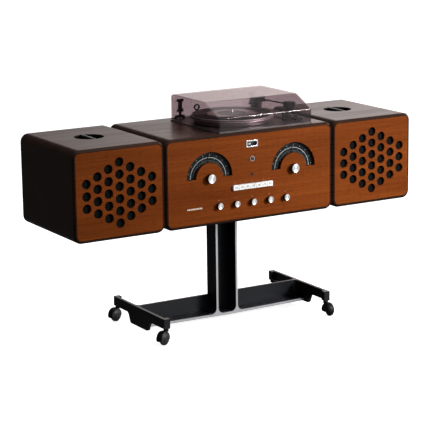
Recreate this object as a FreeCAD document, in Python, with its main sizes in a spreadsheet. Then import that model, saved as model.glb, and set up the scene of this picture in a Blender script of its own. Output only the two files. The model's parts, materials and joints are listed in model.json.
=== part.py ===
import FreeCAD, Part
import Sketcher
import math
import os

# Radio phonograph console: a radio and record player cabinet on a cast stand with casters,
# with a detachable loudspeaker cabinet on each side.
# Frame: millimetres, +X to the right seen from the front, +Y to the back, +Z up.
# The origin is on the floor, under the middle of the whole outline.

doc = FreeCAD.newDocument("RadioPhonograph")

# ---------------------------------------------------------------- driving dimensions

SIZES = [
    # the three wooden cabinets
    ("total_width", 1220),
    ("cabinet_width", 607),
    ("cabinet_height", 280),
    ("cabinet_depth", 365),
    ("stand_height", 358),
    ("side_gap", 0.5),
    ("corner_radius", 25),
    ("bevel", 6.5),
    ("rim", 8),
    ("groove", 1.5),
    ("wall", 14),
    ("panel_thick", 8),
    ("back_thick", 6),
    # loudspeaker grille, handle and fixing studs
    ("hole_pitch_x", 36.4),
    ("hole_pitch_z", 37),
    ("hole_radius", 14.5),
    ("driver_radius", 100),
    ("handle_radius", 46),
    ("handle_deep", 38),
    ("handle_bar", 14),
    ("handle_shift", 12),
    ("bar_thick", 12),
    ("bar_round", 4),
    ("cup_wall", 5),
    ("cloth_wide", 256),
    ("cloth_tall", 236),
    ("cloth_thick", 1),
    ("driver_flange", 6),
    ("cone_deep", 52),
    ("cone_throat", 26),
    ("cone_wall", 4),
    ("magnet_radius", 46),
    ("magnet_deep", 24),
    ("dust_cap", 14),
    ("stud_play", 0.4),
    ("stud_radius", 9),
    ("stud_reach", 7),
    ("stud_height", 190),
    # controls on the front panel
    ("controls_x", 4),
    ("dial_spacing", 304),
    ("dial_height", 148),
    ("dial_outer", 81),
    ("dial_inner", 47.5),
    ("knob_length", 15),
    ("big_knob_radius", 13.8),
    ("small_knob_radius", 9.8),
    ("small_knob_length", 13),
    ("small_knob_pitch", 60.6),
    ("small_knob_height", 59),
    ("shaft_radius", 3),
    ("shaft_play", 0.05),
    ("chassis_front", 36),
    ("chassis_wide", 500),
    ("chassis_deep", 250),
    ("chassis_tall", 200),
    ("sheet_thick", 2),
    ("core_left", -230),
    ("core_front", 60),
    ("core_wide", 96),
    ("core_deep", 42),
    ("core_tall", 80),
    ("winding_wide", 68),
    ("winding_deep", 78),
    ("winding_tall", 48),
    ("key_pitch", 20.5),
    ("key_wide", 20.1),
    ("key_tall", 16),
    ("key_reach", 7),
    ("key_height", 109),
    ("meter_wide", 42),
    ("meter_tall", 22),
    ("meter_height", 240.5),
    ("socket_height", 193.5),
    ("jack_height", 145),
    ("socket_deep", 26),
    ("bore_deep", 24),
    # rear board
    ("vent_pitch", 22),
    ("vent_wide", 6),
    ("vent_tall", 70),
    ("vent_rise", 20),
    ("socket_window_left", 40),
    ("socket_window_wide", 190),
    ("socket_window_low", -90),
    ("socket_window_tall", 60),
    ("socket_plate_margin", 8),
    ("round_socket_pitch", 30),
    ("round_socket_radius", 10),
    ("round_socket_bore", 7.5),
    ("inlet_left", 186),
    ("inlet_wide", 32),
    ("inlet_tall", 24),
    ("inlet_wall", 4),
    ("inlet_pin_pitch", 12),
    # cast stand and casters
    ("beam_back", 35),
    ("beam_deep", 58.5),
    ("web_thick", 7),
    ("web_top", 80),
    ("beam_low", 17),
    ("beam_rise", 3.5),
    ("flange_thick", 9),
    ("column_wide", 80),
    ("head_wide", 180),
    ("head_deep", 150),
    ("head_thick", 8),
    ("casting_fillet", 18),
    ("foot_stub", 26),
    ("foot_outer", 306),
    ("foot_thick", 9),
    ("foot_front", 158),
    ("foot_back", 178),
    ("foot_arm", 31),
    ("foot_blend", 15),
    ("belly_front", -46),
    ("belly_back", 66),
    ("belly_slope", 15),
    ("boss_wide", 20),
    ("boss_long", 18),
    ("stem_radius", 5),
    ("caster_trail", 15),
    ("wheel_radius", 21.5),
    ("wheel_cover", 2.5),
    ("wheel_wide", 9),
    ("wheel_axle", 3),
    ("hood_wide", 24),
    ("collar_radius", 8),
    # turntable under its lid
    ("lid_x", 67),
    ("lid_y", -8),
    ("lid_width", 346),
    ("lid_depth", 297),
    ("lid_height", 82),
    ("lid_top_depth", 214),
    ("lid_front_height", 43.5),
    ("lid_thick", 3),
    ("lid_radius", 9),
    ("deck_thick", 3),
    ("deck_open_wide", 280),
    ("deck_open_deep", 256),
    ("deck_radius", 10),
    ("bearing_radius", 10),
    ("spindle_radius", 5),
    ("spindle_tip", 3.6),
    ("motor_radius", 30),
    ("motor_deep", 42),
    ("motor_plate", 5),
    ("idler_axle", 3),
    ("idler_thick", 6),
    ("motor_shaft", 2.5),
    ("platter_x", 38),
    ("platter_y", -2),
    ("platter_radius", 132),
    ("platter_inner", 116),
    ("platter_tall", 21),
    ("platter_clear", 3),
    ("platter_rim", 10),
    ("skirt_wall", 5),
    ("mat_thick", 3),
    ("mat_margin", 6),
    ("idler_radius", 22),
    ("pulley_radius", 5),
    ("arm_x", 196),
    ("arm_y", 98),
    ("arm_length", 176),
    ("arm_height", 50),
    ("arm_tube", 2.5),
    ("arm_axle", 2.5),
    ("yoke_wide", 48),
    ("cheek_thick", 5),
    ("shell_wide", 26),
    ("start_x", 180),
    ("start_y", -86),
    ("start_stem", 4),
    ("speed_x", 217),
    ("speed_front", -118),
    ("speed_block_wide", 24),
    ("speed_block_long", 44),
    ("speed_slot_wide", 7),
    ("speed_slot_long", 32),
    ("hinge_y", 146),
    ("hinge_height", 9.5),
    ("hinge_half_spacing", 135),
    ("leaf_wide", 14),
    ("leaf_end", 24),
    ("leaf_tall", 56),
    ("strap_tall", 15),
    ("barrel_wide", 22),
    ("pin_radius", 2),
    ("ear_wide", 5),
    ("clip_x", -10),
    ("clip_height", 31.5),
    ("clip_radius", 10.5),
    ("clip_bore", 6),
]

sheet = doc.addObject("Spreadsheet::Sheet", "dims")
for row, (alias, size) in enumerate(SIZES, start=1):
    sheet.set(f"A{row}", alias)
    sheet.set(f"B{row}", str(size))
    sheet.setAlias(f"B{row}", alias)
doc.recompute()

# Places that follow from the driving dimensions
FRONT = "((dims.knob_length - dims.cabinet_depth) / 2)"
BACK = "((dims.knob_length + dims.cabinet_depth) / 2)"
UNDER = "dims.stand_height"
TOP = "(dims.stand_height + dims.cabinet_height)"
MIDDLE = "(dims.stand_height + dims.cabinet_height / 2)"
SPEAKER_WIDTH = "((dims.total_width - dims.cabinet_width) / 2 - dims.side_gap)"
SPEAKER_X = "((dims.total_width + dims.cabinet_width) / 4 + dims.side_gap / 2)"
DIAL_X = {side: f"(dims.controls_x + {sign} * dims.dial_spacing / 2)"
          for side, sign in (("left", -1), ("right", 1))}
SIGN = {"left": -1, "right": 1}

VECTOR = FreeCAD.Vector
TURNS = {
    "X": FreeCAD.Rotation(VECTOR(0, 1, 0), 90),
    "Y": FreeCAD.Rotation(VECTOR(1, 0, 0), -90),
    "Z": FreeCAD.Rotation(),
}
nodes = []


# ---------------------------------------------------------------- general helpers

def value(text):
    """The number that a sheet expression stands for."""
    return float(sheet.evalExpression(str(text)))


def bind(item, **texts):
    """Bind an object's properties to sheet expressions."""
    for name, text in texts.items():
        item.setExpression(name, str(text))
    return item


def put(item, x=0, y=0, z=0):
    """Bind an object's position to sheet expressions."""
    for axis, text in zip("xyz", (x, y, z)):
        item.setExpression(".Placement.Base." + axis, str(text))
    return item


def box(name, low, size):
    item = doc.addObject("Part::Box", name)
    bind(item, Length=size[0], Width=size[1], Height=size[2])
    return put(item, *low)


def cylinder(name, start, radius, length, axis="Z"):
    """A cylinder that runs from its start along +X, +Y or +Z."""
    item = doc.addObject("Part::Cylinder", name)
    item.Placement = FreeCAD.Placement(VECTOR(), TURNS[axis])
    bind(item, Radius=radius, Height=length)
    return put(item, *start)


def cone(name, start, radius_start, radius_end, length, axis="Z"):
    item = doc.addObject("Part::Cone", name)
    item.Placement = FreeCAD.Placement(VECTOR(), TURNS[axis])
    bind(item, Radius1=radius_start, Radius2=radius_end, Height=length)
    return put(item, *start)


def fuse(name, *items):
    item = doc.addObject("Part::MultiFuse", name)
    item.Shapes = list(items)
    item.Refine = True
    return item


def group(name, *items):
    """Several separate solids kept as one object."""
    item = doc.addObject("Part::Compound", name)
    item.Links = list(items)
    return item


def cut(name, base, *tools):
    item = doc.addObject("Part::Cut", name)
    item.Base = base
    item.Tool = tools[0] if len(tools) == 1 else group(name + "_tools", *tools)
    item.Refine = True
    return item


def common(name, first, second):
    item = doc.addObject("Part::Common", name)
    item.Base = first
    item.Tool = second
    return item


def round_edges(name, base, radius, chosen):
    """Round the edges of a shape whose middle points pass the test."""
    doc.recompute()
    size = value(radius)
    item = doc.addObject("Part::Fillet", name)
    item.Base = base
    item.Edges = [(number, size, size) for number, edge in enumerate(base.Shape.Edges, start=1)
                  if chosen(edge.CenterOfMass, edge)]
    return item


def node(item, label):
    """Name a finished sub-part; the name is also its file's name."""
    item.Label = label
    nodes.append(item)
    return item


# ---------------------------------------------------------------- sketch helpers

def plane_of(body, role):
    return next(feature for feature in body.Origin.OriginFeatures if feature.Role == role)


def new_sketch(body, name, role, shift="0"):
    sketch = body.newObject("Sketcher::SketchObject", name)
    sketch.AttachmentSupport = [(plane_of(body, role), "")]
    sketch.MapMode = "FlatFace"
    sketch.setExpression(".AttachmentOffset.Base.z", shift)
    return sketch


def name_size(sketch, name, constraint, text):
    """Add a constraint and bind its size to the sheet."""
    index = sketch.addConstraint(constraint)
    sketch.renameConstraint(index, name)
    sketch.setExpression("Constraints." + name, str(text))


def polygon_sketch(sketch, points):
    """A closed outline of straight lines whose corners are sheet expressions."""
    spots = [VECTOR(value(across), value(up), 0) for across, up in points]
    count = len(points)
    for index in range(count):
        sketch.addGeometry(Part.LineSegment(spots[index], spots[(index + 1) % count]))
    for index in range(count):
        sketch.addConstraint(Sketcher.Constraint("Coincident", index, 2, (index + 1) % count, 1))
    for index, (across, up) in enumerate(points):
        name_size(sketch, f"across{index}",
                  Sketcher.Constraint("DistanceX", -1, 1, index, 1, spots[index].x), across)
        name_size(sketch, f"up{index}",
                  Sketcher.Constraint("DistanceY", -1, 1, index, 1, spots[index].y), up)


def rounded_sketch(sketch, wide, tall, radius):
    """A rectangle with round corners, centred on the sketch's origin."""
    w, t, r = value(wide) / 2, value(tall) / 2, value(radius)
    lines = [((r - w, -t), (w - r, -t)), ((w, r - t), (w, t - r)),
             ((w - r, t), (r - w, t)), ((-w, t - r), (-w, r - t))]
    for start, end in lines:
        sketch.addGeometry(Part.LineSegment(VECTOR(*start, 0), VECTOR(*end, 0)))
    for index, (x, z) in enumerate(((w - r, r - t), (w - r, t - r), (r - w, t - r), (r - w, r - t))):
        circle = Part.Circle(VECTOR(x, z, 0), VECTOR(0, 0, 1), r)
        start = math.radians(90 * index - 90)
        sketch.addGeometry(Part.ArcOfCircle(circle, start, start + math.pi / 2))
    rules = []
    for index in range(4):
        rules.append(Sketcher.Constraint("Tangent", index, 2, 4 + index, 1))
        rules.append(Sketcher.Constraint("Tangent", 4 + index, 2, (index + 1) % 4, 1))
        rules.append(Sketcher.Constraint("Vertical" if index % 2 else "Horizontal", index))
    rules += [Sketcher.Constraint("Equal", 4, index) for index in (5, 6, 7)]
    rules.append(Sketcher.Constraint("Symmetric", 0, 1, 2, 1, -1, 1))
    sketch.addConstraint(rules)
    name_size(sketch, "radius", Sketcher.Constraint("Radius", 4, r), radius)
    name_size(sketch, "wide", Sketcher.Constraint("DistanceX", 3, 1, 1, 1, 2 * w), wide)
    name_size(sketch, "tall", Sketcher.Constraint("DistanceY", 0, 1, 2, 1, 2 * t), tall)


def add_pad(body, sketch, length, backwards=False):
    pad = body.newObject("PartDesign::Pad", sketch.Name + "_pad")
    pad.Profile = sketch
    pad.Reversed = backwards
    return bind(pad, Length=length)


def prism(name, role, points, length, shift="0"):
    """A body with a straight-sided outline, extruded towards +X, +Y or +Z."""
    body = doc.addObject("PartDesign::Body", name)
    front = role == "XZ_Plane"
    sketch = new_sketch(body, name + "_outline", role, f"-({shift})" if front else shift)
    polygon_sketch(sketch, points)
    add_pad(body, sketch, length, backwards=front)
    return body


def rounded_block(name, wide, tall, radius, deep, x, y, z):
    """A block with round corners seen from the front; x, y, z is its front face's centre."""
    body = doc.addObject("PartDesign::Body", name)
    sketch = new_sketch(body, name + "_outline", "XZ_Plane")
    rounded_sketch(sketch, wide, tall, radius)
    add_pad(body, sketch, deep, backwards=True)
    return put(body, x, y, z)


def bevel_ends(body, size, deep):
    """Bevel the outer edges of a rounded block's front and back faces."""
    doc.recompute()
    pad = body.Tip
    far = value(deep)
    ends = [f"Edge{number}" for number, edge in enumerate(pad.Shape.Edges, start=1)
            if edge.BoundBox.YLength < 0.001 and min(abs(edge.CenterOfMass.y),
                                                     abs(edge.CenterOfMass.y - far)) < 0.001]
    chamfer = body.newObject("PartDesign::Chamfer", body.Name + "_bevel")
    chamfer.Base = (pad, ends)
    return bind(chamfer, Size=size)


def hollow(body, name, wide, tall, radius, start, deep):
    """Cut a rounded recess of a given depth, from a plane behind the block's front."""
    sketch = new_sketch(body, name, "XZ_Plane", f"-({start})")
    rounded_sketch(sketch, wide, tall, radius)
    pocket = body.newObject("PartDesign::Pocket", name + "_pocket")
    pocket.Profile = sketch
    return bind(pocket, Length=deep)


# ---------------------------------------------------------------- wooden cabinets

PANEL_TRIM = "2 * (dims.rim + dims.groove)"
PANEL_RADIUS = "dims.corner_radius - dims.rim - dims.groove"


def wooden_case(name, wide, x, closed_back):
    """A round-cornered wooden case with bevelled rims and a rebate for its front panel."""
    body = rounded_block(name, wide, "dims.cabinet_height", "dims.corner_radius",
                         "dims.cabinet_depth", x, FRONT, MIDDLE)
    bevel_ends(body, "dims.bevel", "dims.cabinet_depth")
    hollow(body, name + "_rebate", f"{wide} - 2 * dims.rim", "dims.cabinet_height - 2 * dims.rim",
           "dims.corner_radius - dims.rim", 0, "dims.panel_thick")
    inside = "dims.cabinet_depth - dims.panel_thick"
    hollow(body, name + "_inside", f"{wide} - 2 * dims.wall", "dims.cabinet_height - 2 * dims.wall",
           "dims.corner_radius - dims.wall", "dims.panel_thick",
           f"{inside} - dims.wall" if closed_back else inside)
    if not closed_back:
        hollow(body, name + "_back_rebate", f"{wide} - 2 * dims.rim",
               "dims.cabinet_height - 2 * dims.rim", "dims.corner_radius - dims.rim",
               "dims.cabinet_depth - dims.back_thick", "dims.back_thick")
    return body


def front_board(name, wide, x):
    """The veneered board that closes a case's front, with a dark groove around it."""
    return rounded_block(name, f"{wide} - {PANEL_TRIM}", f"dims.cabinet_height - {PANEL_TRIM}",
                         PANEL_RADIUS, "dims.panel_thick", x, FRONT, MIDDLE)


STUD_ROWS = (-85, 100)
HANDLE_Y = f"({FRONT} + dims.cabinet_depth / 2 + dims.handle_shift)"
WIDEST_COLUMN = 6


def speaker_shell(name, side, centre):
    """A loudspeaker's case, with its carrying handle and the grooves for its studs."""
    case = wooden_case(name + "_case", SPEAKER_WIDTH, centre, closed_back=True)
    low = f"({TOP} - dims.handle_deep)"
    cup = cylinder(name + "_cup", (centre, HANDLE_Y, f"{low} - dims.cup_wall"),
                   "dims.handle_radius + dims.cup_wall", "dims.handle_deep")
    recess = cylinder(name + "_recess", (centre, HANDLE_Y, low), "dims.handle_radius",
                      "dims.handle_deep + dims.cup_wall")
    bar = box(name + "_bar",
              (f"{centre} - dims.handle_bar / 2", f"{HANDLE_Y} - dims.handle_radius - 2",
               f"{TOP} - dims.bar_thick"),
              ("dims.handle_bar", "2 * dims.handle_radius + 4", "dims.bar_thick"))
    inner = f"({SIGN[side]} * (dims.cabinet_width / 2 + dims.side_gap))"
    start = f"{inner} - 1" if side == "right" else f"{inner} - dims.stud_reach + 0.5"
    # the grooves are open at the bottom, so the cabinet lifts off its studs
    grooves = [box(f"{name}_groove{number}",
                   (start, f"{y} - dims.stud_radius - dims.stud_play", f"{UNDER} - 1"),
                   ("dims.stud_reach + 0.5", "2 * (dims.stud_radius + dims.stud_play)",
                    "1 + dims.stud_height + dims.stud_radius + dims.stud_play"))
               for number, y in enumerate(STUD_ROWS)]
    opened = cut(name + "_opened", fuse(name + "_with_cup", case, cup), recess, *grooves)
    top = value(TOP)
    smooth = round_edges(name + "_bar_round", bar, "dims.bar_round",
                         lambda middle, edge: middle.z > top - 0.01
                         and edge.BoundBox.YLength > edge.BoundBox.XLength)
    node(fuse(name + "_shell", opened, smooth), name + "_shell")


def speaker_grille(name, centre):
    """A veneered board with a hexagon of round holes."""
    board = front_board(name + "_board", SPEAKER_WIDTH, centre)
    holes = []
    for column in range(-WIDEST_COLUMN // 2, WIDEST_COLUMN // 2 + 1):
        count = WIDEST_COLUMN - abs(column)
        for row in range(count):
            x = f"{centre} + {column} * dims.hole_pitch_x"
            z = f"{MIDDLE} + {row - (count - 1) / 2} * dims.hole_pitch_z"
            holes.append(cylinder(f"{name}_hole_{column + WIDEST_COLUMN // 2}_{row}",
                                  (x, f"{FRONT} - 1", z), "dims.hole_radius", "dims.panel_thick + 2", "Y"))
    node(cut(name + "_grille", board, *holes), name + "_grille")


def speaker_driver(name, centre):
    """A loudspeaker driver: flange, basket, magnet, open cone and dust cap."""
    seat = f"({FRONT} + dims.panel_thick + dims.cloth_thick)"
    frame = cylinder(name + "_frame", (centre, seat, MIDDLE), "dims.driver_radius", "dims.driver_flange",
                     "Y")
    basket = cone(name + "_basket", (centre, f"{seat} + dims.driver_flange", MIDDLE),
                  "dims.driver_radius - 3 * dims.cone_wall", "dims.magnet_radius - 2", "dims.cone_deep",
                  "Y")
    magnet = cylinder(name + "_magnet", (centre, f"{seat} + dims.driver_flange + dims.cone_deep", MIDDLE),
                      "dims.magnet_radius", "dims.magnet_deep", "Y")
    mouth = cone(name + "_mouth", (centre, f"{seat} - 1", MIDDLE),
                 "dims.driver_radius - 4 * dims.cone_wall", "dims.cone_throat", "dims.cone_deep", "Y")
    horn = cut(name + "_horn", fuse(name + "_metal", frame, basket, magnet), mouth)
    cap = cone(name + "_cap", (centre, f"{seat} + dims.cone_deep - dims.dust_cap", MIDDLE),
               "dims.dust_cap", "dims.cone_throat + 1", "dims.dust_cap", "Y")
    node(fuse(name + "_driver", horn, cap), name + "_driver")


def speaker(side):
    """One loudspeaker cabinet: shell, grille board, cloth and driver."""
    name = side + "_speaker"
    centre = f"({SIGN[side]} * {SPEAKER_X})"
    speaker_shell(name, side, centre)
    speaker_grille(name, centre)
    node(box(name + "_cloth",
             (f"{centre} - dims.cloth_wide / 2", f"{FRONT} + dims.panel_thick",
              f"{MIDDLE} - dims.cloth_tall / 2"),
             ("dims.cloth_wide", "dims.cloth_thick", "dims.cloth_tall")), name + "_cloth")
    speaker_driver(name, centre)


def speaker_studs():
    """Round studs on the sides of the radio cabinet that carry the loudspeaker cabinets."""
    studs = []
    for side, sign in SIGN.items():
        for number, y in enumerate(STUD_ROWS):
            start = "dims.cabinet_width / 2" if sign > 0 else "-dims.cabinet_width / 2 - dims.stud_reach + 1"
            studs.append(cylinder(f"stud_{side}{number}", (start, y, f"{UNDER} + dims.stud_height"),
                                  "dims.stud_radius", "dims.stud_reach - 1", "X"))
    node(group("speaker_studs", *studs), "speaker_studs")


def radio_case():
    """The middle case, open at the back and cut open on top for the turntable."""
    case = wooden_case("cabinet_case", "dims.cabinet_width", 0, closed_back=False)
    opening = box("deck_opening",
                  ("dims.lid_x - dims.deck_open_wide / 2", "dims.lid_y - dims.deck_open_deep / 2",
                   f"{TOP} - dims.wall - 1"),
                   ("dims.deck_open_wide", "dims.deck_open_deep", "dims.wall + 2"))
    node(cut("cabinet_shell", case, opening), "cabinet_shell")


# ---------------------------------------------------------------- front panel and controls

def half_ring(name, side, outer, inner, start, thick):
    """The upper half of a flat ring around a dial's centre."""
    centre = (DIAL_X[side], start, f"{UNDER} + dims.dial_height")
    disc = cylinder(name + "_disc", centre, outer, thick, "Y")
    eye = cylinder(name + "_eye", (centre[0], f"{start} - 1", centre[2]), inner, f"{thick} + 2", "Y")
    ring = cut(name + "_ring", disc, eye)
    upper = box(name + "_upper", (f"{DIAL_X[side]} - 100", f"{start} - 1", centre[2]),
                (200, f"{thick} + 2", 100))
    return common(name, ring, upper)


KNOB_PLACES = [f"(dims.controls_x + {step} * dims.small_knob_pitch)" for step in range(-2, 3)]
KEY_COUNT = 7
KEY_BACK = 30


def radio_front():
    """The veneered control board: dial windows, key slot, meter, socket and shaft holes."""
    board = front_board("cabinet_board", "dims.cabinet_width", 0)
    through = (f"{FRONT} - 1", "dims.panel_thick + 2")
    tools = [half_ring(f"{side}_window", side, "dims.dial_outer", "dims.dial_inner", *through)
             for side in SIGN]
    tools += [cylinder(f"{side}_shaft_hole", (DIAL_X[side], through[0], f"{UNDER} + dims.dial_height"),
                       "dims.shaft_radius + 2", through[1], "Y") for side in SIGN]
    tools += [cylinder(f"shaft_hole{number}", (x, through[0], f"{UNDER} + dims.small_knob_height"),
                       "dims.shaft_radius + 2", through[1], "Y")
              for number, x in enumerate(KNOB_PLACES)]
    half = f"({KEY_COUNT / 2} * dims.key_pitch + 0.6)"
    tools.append(box("key_slot", (f"dims.controls_x - {half}", through[0],
                                  f"{UNDER} + dims.key_height - dims.key_tall / 2 - 0.8"),
                     (f"2 * {half}", through[1], "dims.key_tall + 1.6")))
    tools.append(box("meter_slot", ("dims.controls_x - dims.meter_wide / 2 + 2", through[0],
                                    f"{UNDER} + dims.meter_height - dims.meter_tall / 2 + 2"),
                     ("dims.meter_wide - 4", through[1], "dims.meter_tall - 4")))
    tools.append(cylinder("socket_hole", ("dims.controls_x", through[0], f"{UNDER} + dims.socket_height"),
                          6, through[1], "Y"))
    tools.append(cylinder("jack_hole", ("dims.controls_x", through[0], f"{UNDER} + dims.jack_height"),
                          3.5, through[1], "Y"))
    node(cut("cabinet_front", board, *tools), "cabinet_front")


def dial_scales():
    """Curved scale plates behind the two dial windows."""
    plates = [half_ring(f"{side}_scale", side, "dims.dial_outer + 5", "dims.dial_inner - 5",
                        f"{FRONT} + dims.panel_thick + 2", "1") for side in SIGN]
    node(group("dial_scales", *plates), "dial_scales")


def knob(name, x, height, radius, length):
    """A round knob on its shaft; the shaft turns in the chassis plate."""
    z = f"{UNDER} + {height}"
    grip = cylinder(name + "_grip", (x, f"{FRONT} - {length}", z), radius, f"{length} - 0.8", "Y")
    grip = round_edges(name + "_soft", grip, 1, lambda middle, edge: edge.BoundBox.YLength < 0.01)
    shaft = cylinder(name + "_shaft", (x, f"{FRONT} - 2", z), "dims.shaft_radius",
                     "dims.chassis_front + 8", "Y")
    node(fuse(name, grip, shaft), name)


def pointer(side):
    """A dial pointer that turns around the tuning shaft, behind the board."""
    name = side + "_pointer"
    y = f"{FRONT} + dims.panel_thick + 0.6"
    z = f"{UNDER} + dims.dial_height"
    hub = cylinder(name + "_hub", (DIAL_X[side], y, z), 8, 0.8, "Y")
    needle = box(name + "_needle", (f"{DIAL_X[side]} - 1", y, z), (2, 0.8, "dims.dial_outer - 4"))
    bore = cylinder(name + "_bore", (DIAL_X[side], f"{y} - 1", z), "dims.shaft_radius + dims.shaft_play",
                    3, "Y")
    node(cut(name, fuse(name + "_blank", hub, needle), bore), name)


def key(number):
    """One push key: a wide cap in front, and a narrower stem in the key frame."""
    name = f"key_{number + 1}"
    x = f"(dims.controls_x + {number - (KEY_COUNT - 1) / 2} * dims.key_pitch)"
    z = f"({UNDER} + dims.key_height)"
    cap = box(name + "_cap", (f"{x} - dims.key_wide / 2", f"{FRONT} - dims.key_reach",
                              f"{z} - dims.key_tall / 2"),
                              ("dims.key_wide", "dims.key_reach + 6", "dims.key_tall"))
    cap = round_edges(name + "_soft", cap, 0.8,
                      lambda middle, edge: middle.y < value(f"{FRONT} - dims.key_reach") + 0.01)
    stem = box(name + "_stem", (f"{x} - 5", f"{FRONT} + 5", f"{z} - 4"), (10, KEY_BACK - 5, 8))
    node(fuse(name, cap, stem), name)


def key_frame():
    """The frame behind the board in which the seven keys slide."""
    half = f"({KEY_COUNT / 2} * dims.key_pitch + 5)"
    z = f"({UNDER} + dims.key_height)"
    block = box("key_block", (f"dims.controls_x - {half}", f"{FRONT} + 14", f"{z} - 14"),
                (f"2 * {half}", 14, 28))
    slots = [box(f"key_way{number}",
                 (f"dims.controls_x + {number - (KEY_COUNT - 1) / 2} * dims.key_pitch - 5.3",
                  f"{FRONT} + 13", f"{z} - 4.3"), (10.6, 16, 8.6)) for number in range(KEY_COUNT)]
    node(cut("key_frame", block, *slots), "key_frame")


def tuning_meter():
    """A small meter with a metal frame on the board and its case behind it."""
    z = f"({UNDER} + dims.meter_height)"
    frame = box("meter_frame", ("dims.controls_x - dims.meter_wide / 2", f"{FRONT} - 1.5",
                                f"{z} - dims.meter_tall / 2"), ("dims.meter_wide", 1.5, "dims.meter_tall"))
    case = box("meter_case", ("dims.controls_x - dims.meter_wide / 2 + 2.2", FRONT,
                              f"{z} - dims.meter_tall / 2 + 2.2"),
                              ("dims.meter_wide - 4.4", 26, "dims.meter_tall - 4.4"))
    window = box("meter_window", ("dims.controls_x - dims.meter_wide / 2 + 4", f"{FRONT} - 3",
                                  f"{z} - dims.meter_tall / 2 + 4"),
                                  ("dims.meter_wide - 8", 7, "dims.meter_tall - 8"))
    node(cut("tuning_meter", fuse("meter_solid", frame, case), window), "tuning_meter")


def front_sockets():
    """Headphone socket with its metal collar, and a small jack socket below it."""
    parts = []
    for name, height, collar, body_radius, bore, proud in (
            ("headphone", "dims.socket_height", 8, 5.8, 3.2, 2),
            ("jack", "dims.jack_height", 4.6, 3.3, 1.8, 1.2)):
        z = f"({UNDER} + {height})"
        ring = cylinder(name + "_collar", ("dims.controls_x", f"{FRONT} - {proud}", z), collar, proud, "Y")
        barrel = cylinder(name + "_barrel", ("dims.controls_x", FRONT, z), body_radius, "dims.socket_deep",
                          "Y")
        hole = cylinder(name + "_bore", ("dims.controls_x", f"{FRONT} - {proud} - 1", z), bore,
                        f"dims.bore_deep + {proud} + 1", "Y")
        parts.append(cut(name + "_socket", fuse(name + "_solid", ring, barrel), hole))
    node(group("front_sockets", *parts), "front_sockets")


# ---------------------------------------------------------------- inside the radio cabinet

def chassis():
    """Bent steel chassis: floor tray and upright plate with bearings for the shafts."""
    y = f"({FRONT} + dims.chassis_front)"
    floor = f"({UNDER} + dims.wall)"
    left = "-dims.chassis_wide / 2"
    tray = box("chassis_tray", (left, y, floor),
               ("dims.chassis_wide", "dims.chassis_deep", "dims.sheet_thick"))
    upright = box("chassis_upright", (left, y, floor),
                  ("dims.chassis_wide", "dims.sheet_thick", "dims.chassis_tall"))
    places = [(DIAL_X[side], "dims.dial_height") for side in SIGN]
    places += [(x, "dims.small_knob_height") for x in KNOB_PLACES]
    holes = [cylinder(f"bearing{number}", (x, f"{y} - 1", f"{UNDER} + {height}"),
                      "dims.shaft_radius + dims.shaft_play", "dims.sheet_thick + 2", "Y")
             for number, (x, height) in enumerate(places)]
    node(cut("chassis", fuse("chassis_sheet", tray, upright), *holes), "chassis")


def power_transformer():
    """Laminated core with a winding on its middle limb."""
    low = f"({UNDER} + dims.wall + dims.sheet_thick)"
    core = box("transformer_core", ("dims.core_left", "dims.core_front", low),
               ("dims.core_wide", "dims.core_deep", "dims.core_tall"))
    winding = box("transformer_winding",
                  ("dims.core_left + (dims.core_wide - dims.winding_wide) / 2",
                   "dims.core_front - (dims.winding_deep - dims.core_deep) / 2",
                   f"{low} + (dims.core_tall - dims.winding_tall) / 2"),
                  ("dims.winding_wide", "dims.winding_deep", "dims.winding_tall"))
    soft = round_edges("transformer_soft", winding, 8,
                       lambda middle, edge: edge.BoundBox.ZLength > value("dims.winding_tall") - 1)
    node(fuse("power_transformer", core, soft), "power_transformer")


VENT_COUNT = 21
ROUND_SOCKETS = 4
SOCKET_HEIGHT = f"({MIDDLE} + dims.socket_window_low + dims.socket_window_tall / 2)"


def back_board():
    """Rear board of the radio cabinet with vent slots and an opening for the sockets."""
    body = rounded_block("back_sheet", f"dims.cabinet_width - {PANEL_TRIM}",
                         f"dims.cabinet_height - {PANEL_TRIM}", PANEL_RADIUS, "dims.back_thick", 0,
                         f"{BACK} - dims.back_thick", MIDDLE)
    start = (f"{BACK} - 2 * dims.back_thick", "3 * dims.back_thick")
    slots = [box(f"vent_{column}",
                 (f"{column - (VENT_COUNT - 1) / 2} * dims.vent_pitch - dims.vent_wide / 2", start[0],
                  f"{MIDDLE} + dims.vent_rise"), ("dims.vent_wide", start[1], "dims.vent_tall"))
             for column in range(VENT_COUNT)]
    slots.append(box("socket_opening",
                     ("dims.socket_window_left", start[0], f"{MIDDLE} + dims.socket_window_low"),
                     ("dims.socket_window_wide", start[1], "dims.socket_window_tall")))
    node(cut("cabinet_back", body, *slots), "cabinet_back")


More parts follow.
